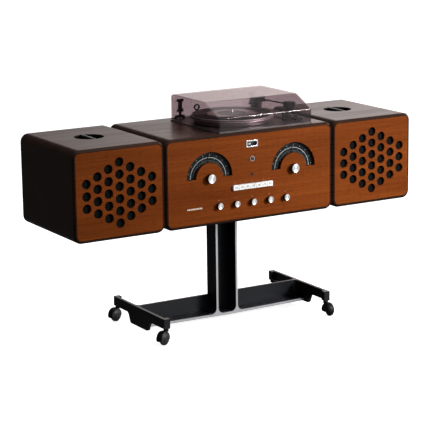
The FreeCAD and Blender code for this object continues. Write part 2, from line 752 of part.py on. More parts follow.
def rear_sockets():
    """Socket plate behind the rear opening: four round sockets and a mains inlet."""
    thick = "dims.sheet_thick"
    y = f"({BACK} - dims.back_thick - {thick})"
    margin = "dims.socket_plate_margin"
    plate = box("socket_plate",
                (f"dims.socket_window_left - {margin}", y, f"{MIDDLE} + dims.socket_window_low - {margin}"),
                (f"dims.socket_window_wide + 2 * {margin}", thick,
                 f"dims.socket_window_tall + 2 * {margin}"))
    rounds = []
    bores = []
    for number in range(ROUND_SOCKETS):
        x = f"dims.socket_window_left + {number + 0.8} * dims.round_socket_pitch"
        rounds.append(cylinder(f"round_socket{number}", (x, f"{y} - 12", SOCKET_HEIGHT),
                               "dims.round_socket_radius", f"13 + {thick}", "Y"))
        bores.append(cylinder(f"round_bore{number}", (x, f"{y} - 8", SOCKET_HEIGHT),
                              "dims.round_socket_bore", 12, "Y"))
    wall = "dims.inlet_wall"
    low = f"{SOCKET_HEIGHT} - dims.inlet_tall / 2"
    inlet = box("inlet_block", ("dims.inlet_left", f"{y} - 18", low),
                ("dims.inlet_wide", 21, "dims.inlet_tall"))
    mouth = box("inlet_mouth", (f"dims.inlet_left + {wall}", f"{y} - 14", f"{low} + {wall}"),
                (f"dims.inlet_wide - 2 * {wall}", 18, f"dims.inlet_tall - 2 * {wall}"))
    pins = [cylinder(f"inlet_pin{number}",
                     (f"dims.inlet_left + dims.inlet_wide / 2 + {offset} * dims.inlet_pin_pitch",
                      f"{y} - 15", SOCKET_HEIGHT), 2, 14, "Y") for number, offset in enumerate((-0.5, 0.5))]
    shell = cut("socket_shell", fuse("socket_solid", plate, inlet, *rounds), mouth, *bores)
    node(fuse("rear_sockets", shell, *pins), "rear_sockets")


# ---------------------------------------------------------------- stand and casters

def stand_frame():
    """Cast column with two posts, its beam flange and the upright web behind them."""
    inner = "(dims.column_wide / 2 - dims.web_thick)"
    outer = "(dims.column_wide / 2)"
    end = "(dims.foot_outer - dims.foot_thick)"
    low = "dims.beam_low"
    high = "(dims.beam_low + dims.flange_thick)"
    neck = f"({UNDER} - dims.head_thick)"
    right = [(outer, high), (outer, neck), (inner, neck), (inner, high)]
    outline = [(0, low), (end, f"{low} + dims.beam_rise"), (end, f"{high} + dims.beam_rise")] + right
    mirrored = [(f"-{x}", z) for x, z in reversed(outline[1:])]
    body = prism("stand_casting", "XZ_Plane", outline + mirrored, "dims.beam_deep",
                 "dims.beam_back - dims.beam_deep")
    web_y = "(dims.beam_back - dims.web_thick)"
    web = box("beam_web", (f"-{end} + dims.foot_stub", web_y, f"{low} + 5"),
              (f"2 * ({end} - dims.foot_stub)", "dims.web_thick", f"dims.web_top - {low} - 5"))
    wall = box("column_web", (f"-{outer} + 1", web_y, f"{low} + 5"),
               ("dims.column_wide - 2", "dims.web_thick", f"{neck} - {low} - 5"))
    head = box("stand_head",
               ("-dims.head_wide / 2", "dims.beam_back - dims.beam_deep / 2 - dims.head_deep / 2", neck),
               ("dims.head_wide", "dims.head_deep", "dims.head_thick"))
    joined = fuse("stand_joined", body, web, wall, head)
    half = value(outer)
    thin = value(inner)
    level = value(high)
    node(round_edges("stand_frame", joined, "dims.casting_fillet",
                     lambda middle, edge: abs(middle.z - level) < 2.5 and edge.BoundBox.YLength > 40
                     and edge.BoundBox.XLength < 0.1
                     and min(abs(abs(middle.x) - half), abs(abs(middle.x) - thin)) < 0.1), "stand_frame")


def across_at(places):
    """A test for edges that run straight across a foot at the given places along Y."""
    wanted = [value(place) for place in places]
    return lambda middle, edge: (edge.BoundBox.XLength > 6 and edge.BoundBox.YLength < 0.1
                                 and edge.BoundBox.ZLength < 0.1
                                 and min(abs(middle.y - place) for place in wanted) < 0.1)


def foot(side):
    """One cast foot: a plate from front to back with a deeper middle and an end boss for each caster."""
    sign = SIGN[side]
    name = side + "_foot"
    under = "(dims.web_top - dims.foot_arm)"
    low = "dims.beam_low"
    bends = ("dims.belly_front - dims.belly_slope", "dims.belly_back + dims.belly_slope")
    lobes = ("dims.belly_front", "dims.belly_back")
    outline = [("-dims.foot_front", under), (bends[0], under), (lobes[0], low), (lobes[1], low),
               (bends[1], under), ("dims.foot_back", under), ("dims.foot_back", "dims.web_top"),
               ("-dims.foot_front", "dims.web_top")]
    inner = f"({sign} * (dims.foot_outer - dims.foot_thick))"
    start = "dims.foot_outer - dims.foot_thick" if sign > 0 else "-dims.foot_outer"
    plate = prism(name + "_plate", "YZ_Plane", outline, "dims.foot_thick", start)
    bosses = []
    stems = []
    for end, low_y, stem_y in CASTERS_Y:
        boss_x = "dims.foot_outer - dims.boss_wide" if sign > 0 else "-dims.foot_outer"
        bosses.append(box(f"{name}_{end}_boss", (boss_x, low_y, under),
                          ("dims.boss_wide", "dims.boss_long", "dims.foot_arm")))
        stems.append(cylinder(f"{name}_{end}_stem", (stem_x(side), stem_y, f"{under} - 1"),
                              "dims.stem_radius + dims.shaft_play", 27))
    stub_x = f"{inner} - dims.foot_stub" if sign > 0 else inner
    stub = box(name + "_stub",
               (stub_x, "dims.beam_back - dims.web_thick", "dims.beam_low + dims.flange_thick + 4"),
               ("dims.foot_stub", "dims.web_thick", "dims.web_top - dims.beam_low - dims.flange_thick - 4"))
    solid = fuse(name + "_solid", plate, stub, *bosses)
    corner = value(inner)
    web_middle = value("dims.beam_back - dims.web_thick / 2")
    soft = round_edges(name + "_soft", solid, "dims.foot_blend",
                       lambda middle, edge: abs(middle.x - corner) < 0.1 and abs(middle.y - web_middle) < 5
                       and edge.BoundBox.ZLength > 30)
    curved = round_edges(name + "_curved", soft, 12, across_at(bends))
    lobe = round_edges(name + "_lobe", curved, 8, across_at(lobes))
    node(cut(name, lobe, *stems), name)


# how far each caster has swivelled, in degrees from pointing to +X
CASTER_TURNS = {("left", "front"): 205, ("left", "back"): 200, ("right", "front"): -90,
                ("right", "back"): -20}
CASTERS_Y = [("front", "-dims.foot_front", "(dims.boss_long / 2 - dims.foot_front)"),
             ("back", "dims.foot_back - dims.boss_long", "(dims.foot_back - dims.boss_long / 2)")]


def stem_x(side):
    return f"({SIGN[side]} * (dims.foot_outer - dims.boss_wide / 2))"


def caster(side, end, y, turned):
    """A hooded caster, drawn with its stem on the local Z axis and trailing along local +X."""
    name = f"{side}_{end}_caster"
    x = "dims.caster_trail"
    z = "dims.wheel_radius"
    outer = "dims.wheel_radius + dims.wheel_cover"

    def stand_at_rest(item, label):
        item.Placement = FreeCAD.Placement(VECTOR(), FreeCAD.Rotation(VECTOR(0, 0, 1), turned))
        node(put(item, stem_x(side), y), label)

    ball = doc.addObject("Part::Sphere", name + "_ball")
    bind(ball, Radius=outer)
    put(ball, x, 0, z)
    slab = box(name + "_slab", (f"{x} - 30", "-dims.hood_wide / 2", f"{z} - 7"), (60, "dims.hood_wide", 40))
    helm = common(name + "_helm", ball, slab)
    space = cylinder(name + "_space", (x, -0.4, z), "dims.wheel_radius + 0.8", 20, "Y")
    axle = cylinder(name + "_axle", (x, -2, z), "dims.wheel_axle", 12, "Y")
    collar = cylinder(name + "_collar", (0, 0, f"{z} + 19"), "dims.collar_radius",
                      "dims.web_top - dims.foot_arm - 0.5 - dims.wheel_radius - 19")
    stem = cylinder(name + "_stem", (0, 0, f"{z} + 22"), "dims.stem_radius", 30)
    hood = cut(name + "_carved", fuse(name + "_top", helm, collar), space)
    stand_at_rest(fuse(name + "_hood", hood, stem, axle), name + "_hood")

    tread = cylinder(name + "_tread", (x, 0, z), "dims.wheel_radius", "dims.wheel_wide", "Y")
    tread = round_edges(name + "_tread_soft", tread, 2, lambda middle, edge: edge.BoundBox.YLength < 0.01)
    dome = cone(name + "_dome", (x, "dims.wheel_wide - 0.5", z), "dims.wheel_radius - 3", 9, 5, "Y")
    hole = cylinder(name + "_hole", (x, -1, z), "dims.wheel_axle + dims.shaft_play", 11.5, "Y")
    stand_at_rest(cut(name + "_wheel", fuse(name + "_disc", tread, dome), hole), name + "_wheel")


# ---------------------------------------------------------------- turntable

DECK = f"({TOP} + dims.deck_thick)"
DRIVE_ANGLE = 215
ARM_SLANT = 4


def drive_place(distance):
    """A place on the line from the platter's centre along which the drive parts lie."""
    angle = math.radians(DRIVE_ANGLE)
    return (f"(dims.platter_x + ({distance}) * {math.cos(angle):.6f})",
            f"(dims.platter_y + ({distance}) * {math.sin(angle):.6f})")


IDLER = drive_place("dims.platter_inner - dims.idler_radius - 0.3")
PULLEY = drive_place("dims.platter_inner - 2 * dims.idler_radius - dims.pulley_radius - 0.6")


def deck_plate():
    """Metal deck of the turntable with the platter bearing and the block of the speed lever."""
    sheet_metal = box("deck_sheet",
                      ("dims.lid_x - dims.lid_width / 2 - 2", "dims.lid_y - dims.lid_depth / 2 - 2", TOP),
                      ("dims.lid_width + 4", "dims.lid_depth + 4", "dims.deck_thick"))
    thin = value("dims.deck_thick")
    soft = round_edges("deck_soft", sheet_metal, "dims.deck_radius",
                       lambda middle, edge: edge.BoundBox.ZLength > thin / 2)
    centre = ("dims.platter_x", "dims.platter_y")
    bearing = cylinder("platter_bearing", (*centre, f"{TOP} - 32"), "dims.bearing_radius", 34)
    block = box("control_block",
                ("dims.speed_x - dims.speed_block_wide / 2", "dims.speed_front", f"{DECK} - 1"),
                ("dims.speed_block_wide", "dims.speed_block_long", 10))
    solid = fuse("deck_solid", soft, bearing, block)
    bore = cylinder("bearing_bore", (*centre, f"{TOP} - 29"), "dims.spindle_radius + dims.shaft_play", 40)
    pulley_hole = cylinder("pulley_hole", (*PULLEY, f"{TOP} - 1"), "dims.pulley_radius + 3", 6)
    idler_hole = cylinder("idler_hole", (*IDLER, f"{TOP} - 1"), "dims.idler_axle + dims.shaft_play", 6)
    lever_slot = box("lever_slot",
                     ("dims.speed_x - dims.speed_slot_wide / 2", "dims.speed_front + 6", f"{TOP} + 5"),
                     ("dims.speed_slot_wide", "dims.speed_slot_long", 10))
    start_hole = cylinder("start_hole", ("dims.start_x", "dims.start_y", f"{TOP} - 1"),
                          "dims.start_stem + dims.shaft_play", 6)
    node(cut("deck_plate", solid, bore, pulley_hole, idler_hole, lever_slot, start_hole), "deck_plate")


def turntable_motor():
    """Motor under the deck, its pulley, and the rubber idler that drives the platter's rim."""
    plate_low = f"({TOP} - dims.motor_plate)"
    can = cylinder("motor_can", (*PULLEY, f"{plate_low} - dims.motor_deep"), "dims.motor_radius",
                   "dims.motor_deep")
    plate = cylinder("motor_plate", (*PULLEY, plate_low), "dims.motor_radius + 8", "dims.motor_plate")
    bore = cylinder("motor_bore", (*PULLEY, f"{TOP} - 30"), "dims.motor_shaft + dims.shaft_play", 40)
    seat = cylinder("idler_seat", (*IDLER, f"{plate_low} + 0.2"), "dims.idler_axle + dims.shaft_play", 10)
    node(cut("turntable_motor", fuse("motor_solid", can, plate), bore, seat), "turntable_motor")
    wheel = cylinder("pulley_wheel", (*PULLEY, f"{DECK} + 1"), "dims.pulley_radius", 11)
    shaft = cylinder("pulley_shaft", (*PULLEY, f"{TOP} - 28"), "dims.motor_shaft", 34)
    node(fuse("motor_pulley", wheel, shaft), "motor_pulley")
    tyre = cylinder("idler_tyre", (*IDLER, f"{DECK} + 4"), "dims.idler_radius", "dims.idler_thick")
    axle = cylinder("idler_axle", (*IDLER, f"{plate_low} + 0.5"), "dims.idler_axle", 14)
    node(fuse("idler_wheel", tyre, axle), "idler_wheel")


def platter():
    """Platter with an overhanging rim, a hollow skirt under it, a spindle and a rubber mat."""
    centre = ("dims.platter_x", "dims.platter_y")
    low = f"({DECK} + dims.platter_clear)"
    high = f"({low} + dims.platter_tall)"
    disc = cylinder("platter_disc", (*centre, f"{high} - dims.platter_rim"), "dims.platter_radius",
                    "dims.platter_rim")
    upper = value(high)
    disc = round_edges("platter_soft", disc, 2.5, lambda middle, edge: middle.z > upper - 1)
    skirt = cylinder("platter_skirt", (*centre, low), "dims.platter_inner + dims.skirt_wall",
                     "dims.platter_tall - 5")
    under = cylinder("platter_under", (*centre, f"{low} - 1"), "dims.platter_inner",
                     "dims.platter_tall - 4")
    spindle = cylinder("platter_spindle", (*centre, f"{TOP} - 27"), "dims.spindle_radius",
                       "dims.platter_tall + 28")
    tip = cylinder("platter_tip", (*centre, f"{DECK} + 10"), "dims.spindle_tip", "dims.platter_tall + 8")
    node(fuse("platter", cut("platter_ring", fuse("platter_body", disc, skirt), under), spindle, tip),
         "platter")
    sheet_rubber = cylinder("mat_disc", (*centre, high), "dims.platter_radius - dims.mat_margin",
                            "dims.mat_thick")
    hole = cylinder("mat_hole", (*centre, f"{high} - 1"), "dims.spindle_tip + dims.shaft_play", 6)
    node(cut("platter_mat", sheet_rubber, hole), "platter_mat")


def slanted(item, x, y, z):
    """Place a tonearm part, drawn about its pivot, with the arm's rest slant."""
    item.Placement = FreeCAD.Placement(VECTOR(), FreeCAD.Rotation(VECTOR(0, 0, 1), ARM_SLANT))
    return put(item, x, y, z)


def tonearm():
    """Tonearm: fixed base with a rest under the head, yoke that swings, and arm that lifts."""
    x, y = "dims.arm_x", "dims.arm_y"
    high = f"({TOP} + dims.arm_height)"
    over_deck = "(dims.arm_height - dims.deck_thick)"
    rest_y = -72
    foot_plate = box("arm_foot", (f"{x} - 6", rest_y - 1, DECK), (24, f"{y} + 18 - ({rest_y - 1})", 3))
    post = cylinder("arm_post", (x, y, f"{DECK} + 1"), 14, f"{over_deck} - 13")
    rest_post = box("rest_post", (f"{x} - 6", rest_y, f"{DECK} + 1"), (16, 14, f"{over_deck} - 21"))
    bore = cylinder("arm_bore", (x, y, f"{DECK} + 8"), "4 + dims.shaft_play", 40)
    base = fuse("arm_base_solid", foot_plate, post, rest_post)
    node(cut("tonearm_base", base, bore), "tonearm_base")

    half = "dims.yoke_wide / 2"
    cheek = "dims.cheek_thick"
    pin = cylinder("yoke_pin", (0, 0, f"10 - {over_deck}"), 4, f"{over_deck} - 20")
    bridge = box("yoke_bridge", (f"-{half}", -12, -11.6), ("dims.yoke_wide", 24, 4))
    cheeks = [box(f"yoke_cheek{number}", (start, -9, -9), (cheek, 18, 17))
              for number, start in enumerate((f"-{half}", f"{half} - {cheek}"))]
    eyes = [cylinder(f"yoke_eye{number}", (start, 0, 0), "dims.arm_axle + dims.shaft_play", f"{cheek} + 2",
                     "X")
            for number, start in enumerate((f"-{half} - 1", f"{half} - {cheek} - 1"))]
    node(slanted(cut("tonearm_yoke", fuse("yoke_solid", pin, bridge, *cheeks), *eyes), x, y, high),
         "tonearm_yoke")

    reach = "dims.arm_length"
    wide = "dims.shell_wide"
    hub = box("arm_hub", (-15, -14, -6), (30, 28, 12))
    axle = cylinder("arm_axle", (f"0.5 - {half}", 0, 0), "dims.arm_axle", "dims.yoke_wide - 1", "X")
    tube = cylinder("arm_tube", (0, f"10 - {reach}", 0), "dims.arm_tube", f"{reach} - 15", "Y")
    shell = box("arm_headshell", (f"-{wide} / 2", f"-{reach} - 9", -9), (wide, 28, 18))
    cartridge = box("arm_cartridge", (f"4 - {wide} / 2", f"-{reach} - 7", -15), (f"{wide} - 8", 22, 8))
    stylus = cone("arm_stylus", (0, f"-{reach}", -18), 0.6, 2, 5)
    finger = box("arm_finger", (f"{wide} / 2 - 1", f"-{reach} - 6", 2), (5, 6, 1.6))
    arm = fuse("tonearm", hub, axle, tube, shell, cartridge, stylus, finger)
    node(slanted(arm, x, y, high), "tonearm")


def levers():
    """Start lever, which turns, and speed lever, which slides in the speed block."""
    x, y = "dims.start_x", "dims.start_y"
    stem = cylinder("start_stem", (x, y, f"{TOP} - 6"), "dims.start_stem", 14)
    hub = cylinder("start_hub", (x, y, f"{DECK} + 0.5"), "2 * dims.start_stem", 7)
    blade = box("start_blade", (f"{x} - 4", f"{y} - 26", f"{DECK} + 3"), (8, 26, 5))
    grip = box("start_grip", (f"{x} - 7", f"{y} - 30", f"{DECK} + 3"), (14, 8, 17))
    node(fuse("start_lever", stem, hub, blade, grip), "start_lever")
    slider_wide = "(dims.speed_slot_wide - 1)"
    slider = box("speed_foot",
                 (f"dims.speed_x - {slider_wide} / 2", "dims.speed_front + 18", f"{TOP} + 5.3"),
                 (slider_wide, 10, 7.5))
    handle = box("speed_handle", ("dims.speed_x - 5", "dims.speed_front + 20", f"{TOP} + 12.5"), (10, 6, 8))
    node(fuse("speed_lever", slider, handle), "speed_lever")


LID_BACK = "(dims.lid_y + dims.lid_depth / 2)"


def lid():
    """Clear lid with a sloping front and round edges."""
    front = "(dims.lid_y - dims.lid_depth / 2)"
    slope = f"({LID_BACK} - dims.lid_top_depth)"
    low = f"({DECK} + 0.3)"
    high = f"({DECK} + dims.lid_height)"
    nose = f"({DECK} + dims.lid_front_height)"
    thick = "dims.lid_thick"
    left = "dims.lid_x - dims.lid_width / 2"
    outer = prism("lid_outer", "YZ_Plane",
                  [(front, low), (LID_BACK, low), (LID_BACK, high), (slope, high), (front, nose)],
                  "dims.lid_width", left)
    inner = prism("lid_inner", "YZ_Plane",
                  [(f"{front} + {thick}", f"{low} - 5"), (f"{LID_BACK} - {thick}", f"{low} - 5"),
                   (f"{LID_BACK} - {thick}", f"{high} - {thick}"), (f"{slope} + 0.6", f"{high} - {thick}"),
                   (f"{front} + {thick}", f"{nose} - 1.5")],
                  "dims.lid_width - 2 * dims.lid_thick", f"{left} + {thick}")
    floor = value(low)
    upper = value(nose)

    def crest(middle, edge):
        on_end = edge.BoundBox.XLength < 0.01
        return (middle.z > upper and on_end) or (middle.z > floor + 1 and edge.BoundBox.ZLength < 0.01) \
            or edge.BoundBox.ZLength > 30

    rounded_outer = round_edges("lid_outer_soft", outer, "dims.lid_radius", crest)
    rounded_inner = round_edges("lid_inner_soft", inner, "dims.lid_radius - dims.lid_thick",
                                lambda middle, edge: middle.z > floor + 1)
    node(cut("lid", rounded_outer, rounded_inner), "lid")


def hinge_arm(side, x, pin_z):
    """A hinge leaf with wide ends on the lid's back, its strap, and the eye that turns on the pin."""
    leaf_low = f"{pin_z} + dims.strap_tall"
    leaf = box(side + "_leaf", (f"{x} - dims.leaf_wide / 2", LID_BACK, leaf_low),
               ("dims.leaf_wide", "dims.lid_thick", "dims.leaf_tall - dims.strap_tall"))
    strap = box(side + "_strap", (f"{x} - 4", LID_BACK, pin_z), (8, "dims.lid_thick", "dims.strap_tall + 1"))
    ends = [box(f"{side}_leaf_end{number}", (f"{x} - dims.leaf_end / 2", LID_BACK, z),
                ("dims.leaf_end", "dims.lid_thick", "dims.leaf_end / 3"))
            for number, z in enumerate((leaf_low, f"{pin_z} + dims.leaf_tall - dims.leaf_end / 3"))]
    start = f"{x} - dims.barrel_wide / 2"
    barrel = cylinder(side + "_barrel", (start, "dims.hinge_y", pin_z), "2 * dims.pin_radius",
                      "dims.barrel_wide", "X")
    hook = box(side + "_hook", (start, LID_BACK, f"{pin_z} + 0.2"),
               ("dims.barrel_wide", f"dims.hinge_y - {LID_BACK}", 3.5))
    hole = cylinder(side + "_eye", (f"{start} - 1", "dims.hinge_y", pin_z),
                    "dims.pin_radius + dims.shaft_play",
                    "dims.barrel_wide + 2", "X")
    return cut(side + "_hinge_arm", fuse(side + "_arm_solid", leaf, strap, *ends, barrel, hook), hole)


def hinge_post(side, x, pin_z):
    """A hinge foot on the cabinet with two ears that carry the pin."""
    base = box(side + "_base", (f"{x} - 18", f"{LID_BACK} + 2.5", TOP), (36, 16, 3))
    starts = (f"{x} - 12 - dims.ear_wide", f"{x} + 12")
    ears = [box(f"{side}_ear{number}", (start, "dims.hinge_y - 3.5", TOP),
                ("dims.ear_wide", 7, "dims.hinge_height"))
            for number, start in enumerate(starts)]
    caps = [cylinder(f"{side}_cap{number}", (start, "dims.hinge_y", pin_z), 3.5, "dims.ear_wide", "X")
            for number, start in enumerate(starts)]
    pin = cylinder(side + "_pin", (f"{x} - 16", "dims.hinge_y", pin_z), "dims.pin_radius", 32, "X")
    return fuse(side + "_hinge_post", base, pin, *ears, *caps)


def centre_clip():
    """Ring-shaped clip for a record centre, on the inside of the lid's back wall."""
    wide = 3
    y = f"({LID_BACK} - dims.lid_thick - {wide})"
    high = f"({DECK} + dims.clip_height)"
    ring = cylinder("clip_ring", ("dims.clip_x", y, high), "dims.clip_radius", wide, "Y")
    stem = box("clip_stem", ("dims.clip_x - 5", y, f"{DECK} + 8"),
               (10, wide, "dims.clip_height - 8 - dims.clip_bore"))
    hole = cylinder("clip_hole", ("dims.clip_x", f"{y} - 1", high), "dims.clip_bore", wide + 2, "Y")
    return cut("centre_clip", fuse("clip_solid", ring, stem), hole)


def hinges():
    """The lid's two hinges, arms on the lid and posts on the cabinet, and the clip in the lid."""
    pin_z = f"({TOP} + dims.hinge_height)"
    places = {side: f"(dims.lid_x + {sign} * dims.hinge_half_spacing)" for side, sign in SIGN.items()}
    arms = [hinge_arm(side, x, pin_z) for side, x in places.items()]
    node(group("lid_hinge_arms", *arms, centre_clip()), "lid_hinge_arms")
    node(group("hinge_posts", *[hinge_post(side, x, pin_z) for side, x in places.items()]), "hinge_posts")


# ---------------------------------------------------------------- assembly and export

radio_case()
radio_front()
back_board()
dial_scales()
key_frame()
tuning_meter()
front_sockets()
chassis()
power_transformer()
rear_sockets()
for which in SIGN:
    knob(which + "_tuning_knob", DIAL_X[which], "dims.dial_height", "dims.big_knob_radius",
         "dims.knob_length")
    pointer(which)
for number, place in enumerate(KNOB_PLACES, start=1):
    knob(f"control_knob_{number}", place, "dims.small_knob_height", "dims.small_knob_radius",
         "dims.small_knob_length")
for number in range(KEY_COUNT):
    key(number)
for which in SIGN:
    speaker(which)
    foot(which)
    for end, _, stem_y in CASTERS_Y:
        caster(which, end, stem_y, CASTER_TURNS[which, end])
speaker_studs()
stand_frame()
deck_plate()
turntable_motor()
platter()
tonearm()
levers()
lid()
hinges()
doc.recompute()

failed = [item.Label for item in doc.Objects if {"Invalid", "Error"} & set(item.State)]
for item in nodes:
    if item.Shape.isNull() or not item.Shape.isValid() or not item.Shape.Solids:
        failed.append(item.Label)
if failed:
    raise RuntimeError("objects that did not build: " + ", ".join(failed))

os.makedirs("parts", exist_ok=True)
for item in nodes:
    item.Shape.exportStep(os.path.join("parts", item.Label + ".step"))
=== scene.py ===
import json
import math

import bmesh
import bpy
from mathutils import Matrix, Vector


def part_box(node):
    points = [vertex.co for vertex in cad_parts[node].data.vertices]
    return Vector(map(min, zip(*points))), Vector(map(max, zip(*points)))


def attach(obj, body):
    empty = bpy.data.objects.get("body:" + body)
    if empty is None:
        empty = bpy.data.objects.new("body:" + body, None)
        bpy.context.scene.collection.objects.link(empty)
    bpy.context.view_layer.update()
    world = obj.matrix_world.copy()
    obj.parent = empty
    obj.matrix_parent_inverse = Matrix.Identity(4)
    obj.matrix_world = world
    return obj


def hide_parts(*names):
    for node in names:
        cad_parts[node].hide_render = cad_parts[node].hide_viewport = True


# Looks of the radio phonograph console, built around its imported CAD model.
# Metres, +X to the right seen from the front, +Y to the back, +Z up.

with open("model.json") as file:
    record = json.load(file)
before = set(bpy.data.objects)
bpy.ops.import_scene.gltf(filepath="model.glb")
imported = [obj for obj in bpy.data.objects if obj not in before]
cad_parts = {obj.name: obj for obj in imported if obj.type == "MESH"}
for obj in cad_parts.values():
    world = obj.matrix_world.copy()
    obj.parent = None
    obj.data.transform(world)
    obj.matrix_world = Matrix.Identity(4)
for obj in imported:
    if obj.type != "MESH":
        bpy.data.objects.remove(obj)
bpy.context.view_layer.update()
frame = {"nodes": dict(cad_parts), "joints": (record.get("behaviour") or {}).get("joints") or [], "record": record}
nodes = frame["nodes"]
joints = {joint["name"]: joint for joint in frame["joints"]}
openings = {room["name"]: [Vector(corner) for corner in room["box_m"]]
            for room in frame["record"]["physics"]["openings"]}

SIDES = ("left", "right")
MM = 0.001
SPARK_GRAIN = 1800
FACE_ON_MIRROR = 0.05
SOFT_EDGE_ANGLE = 40


# ---------------------------------------------------------------- procedural materials

class Surface:
    """One procedural material: a Principled shader and the textures that feed it."""

    def __init__(self, name, **values):
        self.material = bpy.data.materials.new(name)
        self.material.use_nodes = True
        self.tree = self.material.node_tree
        self.shader = self.tree.nodes["Principled BSDF"]
        self.coords = self.node("ShaderNodeTexCoord").outputs["Object"]
        for label, value in values.items():
            self.shader.inputs[label.replace("_", " ").title().replace("Ior", "IOR")].default_value = value

    def node(self, kind, **settings):
        """A new node of the material, with its settings."""
        made = self.tree.nodes.new(kind)
        for key, value in settings.items():
            setattr(made, key, value)
        return made

    def link(self, source, target):
        self.tree.links.new(source, target)

    def stretched(self, scale):
        """Object coordinates, scaled in each direction."""
        mapping = self.node("ShaderNodeMapping")
        mapping.inputs["Scale"].default_value = scale
        self.link(self.coords, mapping.inputs["Vector"])
        return mapping.outputs["Vector"]

    def noise(self, vector, scale=1.0, detail=4.0, rough=0.55, distortion=0.0):
        texture = self.node("ShaderNodeTexNoise")
        self.link(vector, texture.inputs["Vector"])
        for label, value in (("Scale", scale), ("Detail", detail), ("Roughness", rough),
                             ("Distortion", distortion)):
            texture.inputs[label].default_value = value
        return texture.outputs["Fac"]

    def voronoi(self, vector, scale):
        texture = self.node("ShaderNodeTexVoronoi")
        self.link(vector, texture.inputs["Vector"])
        texture.inputs["Scale"].default_value = scale
        return texture.outputs["Distance"]

    def wave(self, vector, scale, axis, rings=False):
        """Even bands across an axis, or rings about it."""
        texture = self.node("ShaderNodeTexWave", wave_type="RINGS" if rings else "BANDS")
        if rings:
            texture.rings_direction = axis
        else:
            texture.bands_direction = axis
        self.link(vector, texture.inputs["Vector"])
        texture.inputs["Scale"].default_value = scale
        return texture.outputs["Fac"]

    def ramp(self, factor, stops):
        """A colour for each value of a texture; stops are (position, colour)."""
        ramp = self.node("ShaderNodeValToRGB")
        band = ramp.color_ramp
        while len(band.elements) < len(stops):
            band.elements.new(0.5)
        for element, (position, colour) in zip(band.elements, stops):
            element.position = position
            element.color = (*colour, 1)
        self.link(factor, ramp.inputs["Fac"])
        return ramp.outputs["Color"]

    def span(self, factor, low, high, start=0.3, end=0.7):
        """A texture's values between start and end, spread from low to high."""
        spread = self.node("ShaderNodeMapRange")
        for label, value in (("From Min", start), ("From Max", end), ("To Min", low), ("To Max", high)):
            spread.inputs[label].default_value = value
        self.link(factor, spread.inputs["Value"])
        return spread.outputs["Result"]

    def math(self, first, second, operation="ADD"):
        """A texture's value with a number or another texture's value."""
        node = self.node("ShaderNodeMath", operation=operation)
        self.link(first, node.inputs[0])
        if isinstance(second, (int, float)):
            node.inputs[1].default_value = second
        else:
            self.link(second, node.inputs[1])
        return node.outputs["Value"]

    def darken(self, factor, first, second):
        """The first colour, multiplied by the second to the extent of the factor."""
        mix = self.node("ShaderNodeMix", data_type="RGBA", blend_type="MULTIPLY")
        mix.inputs["Factor"].default_value = factor
        self.link(first, mix.inputs["A"])
        self.link(second, mix.inputs["B"])
        return mix.outputs["Result"]

    def colour(self, socket):
        self.link(socket, self.shader.inputs["Base Color"])
        return self

    def roughness(self, socket):
        self.link(socket, self.shader.inputs["Roughness"])
        return self

    def bump(self, height, distance, strength):
        """Relief of a given depth in metres."""
        bump = self.node("ShaderNodeBump")
        bump.inputs["Distance"].default_value = distance
        bump.inputs["Strength"].default_value = strength
        self.link(height, bump.inputs["Height"])
        self.link(bump.outputs["Normal"], self.shader.inputs["Normal"])
        return self


def wood(name, dark, middle, light, shine, grain=1.0, **values):
    """Veneer with its grain along X: slow colour bands, fine streaks and open pores."""
    s = Surface(name, **values)
    bands = s.noise(s.stretched((1.1, 6, 11)), detail=3, rough=0.5, distortion=0.6)
    streaks = s.noise(s.stretched((3.2, 40, 150)), detail=6, rough=0.65, distortion=0.25)
    figure = s.math(s.math(bands, 0.55, "MULTIPLY"), s.math(streaks, 0.45, "MULTIPLY"))
    tone = s.ramp(figure, ((0.34, dark), (0.5, middle), (0.66, light)))
    pores = s.noise(s.stretched((45, 400, 1300)), detail=2, rough=0.5)
    pore_mask = s.ramp(pores, ((0.36, (0.45, 0.4, 0.4)), (0.46, (1, 1, 1))))
    s.colour(s.darken(0.7 * grain, tone, pore_mask))
    s.roughness(s.span(streaks, shine - 0.05, shine + 0.08))
    s.bump(s.math(streaks, pores), 0.00012 * grain, 0.5)
    return s.material


def painted(name, colour, rough, speck=2400, depth=0.00005, **values):
    """Sprayed paint: faint orange-peel relief and small changes of tone."""
    s = Surface(name, **values)
    cloud = s.noise(s.coords, scale=14, detail=4)
    low = tuple(0.8 * c for c in colour)
    high = tuple(1.25 * c for c in colour)
    s.colour(s.ramp(cloud, ((0.3, low), (0.7, high))))
    peel = s.noise(s.coords, scale=speck, detail=2)
    s.roughness(s.span(s.noise(s.coords, scale=60, detail=5), rough - 0.06, rough + 0.08))
    s.bump(peel, depth, 0.35)
    return s.material


def moulded(name, colour, rough, depth=0.00006, **values):
    """Moulded plastic with a fine spark-eroded grain."""
    s = Surface(name, **values)
    grains = s.voronoi(s.coords, SPARK_GRAIN)
    cloud = s.noise(s.coords, scale=35, detail=3)
    s.colour(s.ramp(cloud, ((0.3, tuple(0.85 * c for c in colour)),
                            (0.7, tuple(1.15 * c for c in colour)))))
    s.roughness(s.span(cloud, rough - 0.05, rough + 0.07))
    s.bump(grains, depth, 0.3)
    return s.material


def brushed(name, colour, rough, along=(8, 700, 700)):
    """Bare metal with fine marks along one direction."""
    s = Surface(name, metallic=1.0)
    marks = s.noise(s.stretched(along), detail=4, rough=0.6)
    cloud = s.noise(s.coords, scale=22, detail=3)
    s.colour(s.darken(0.5, s.ramp(marks, ((0.3, tuple(0.8 * c for c in colour)), (0.7, colour))),
                      s.ramp(cloud, ((0.3, (0.86, 0.86, 0.88)), (0.7, (1, 1, 1))))))
    s.roughness(s.span(marks, rough - 0.07, rough + 0.1))
    s.bump(marks, 0.00003, 0.4)
    return s.material


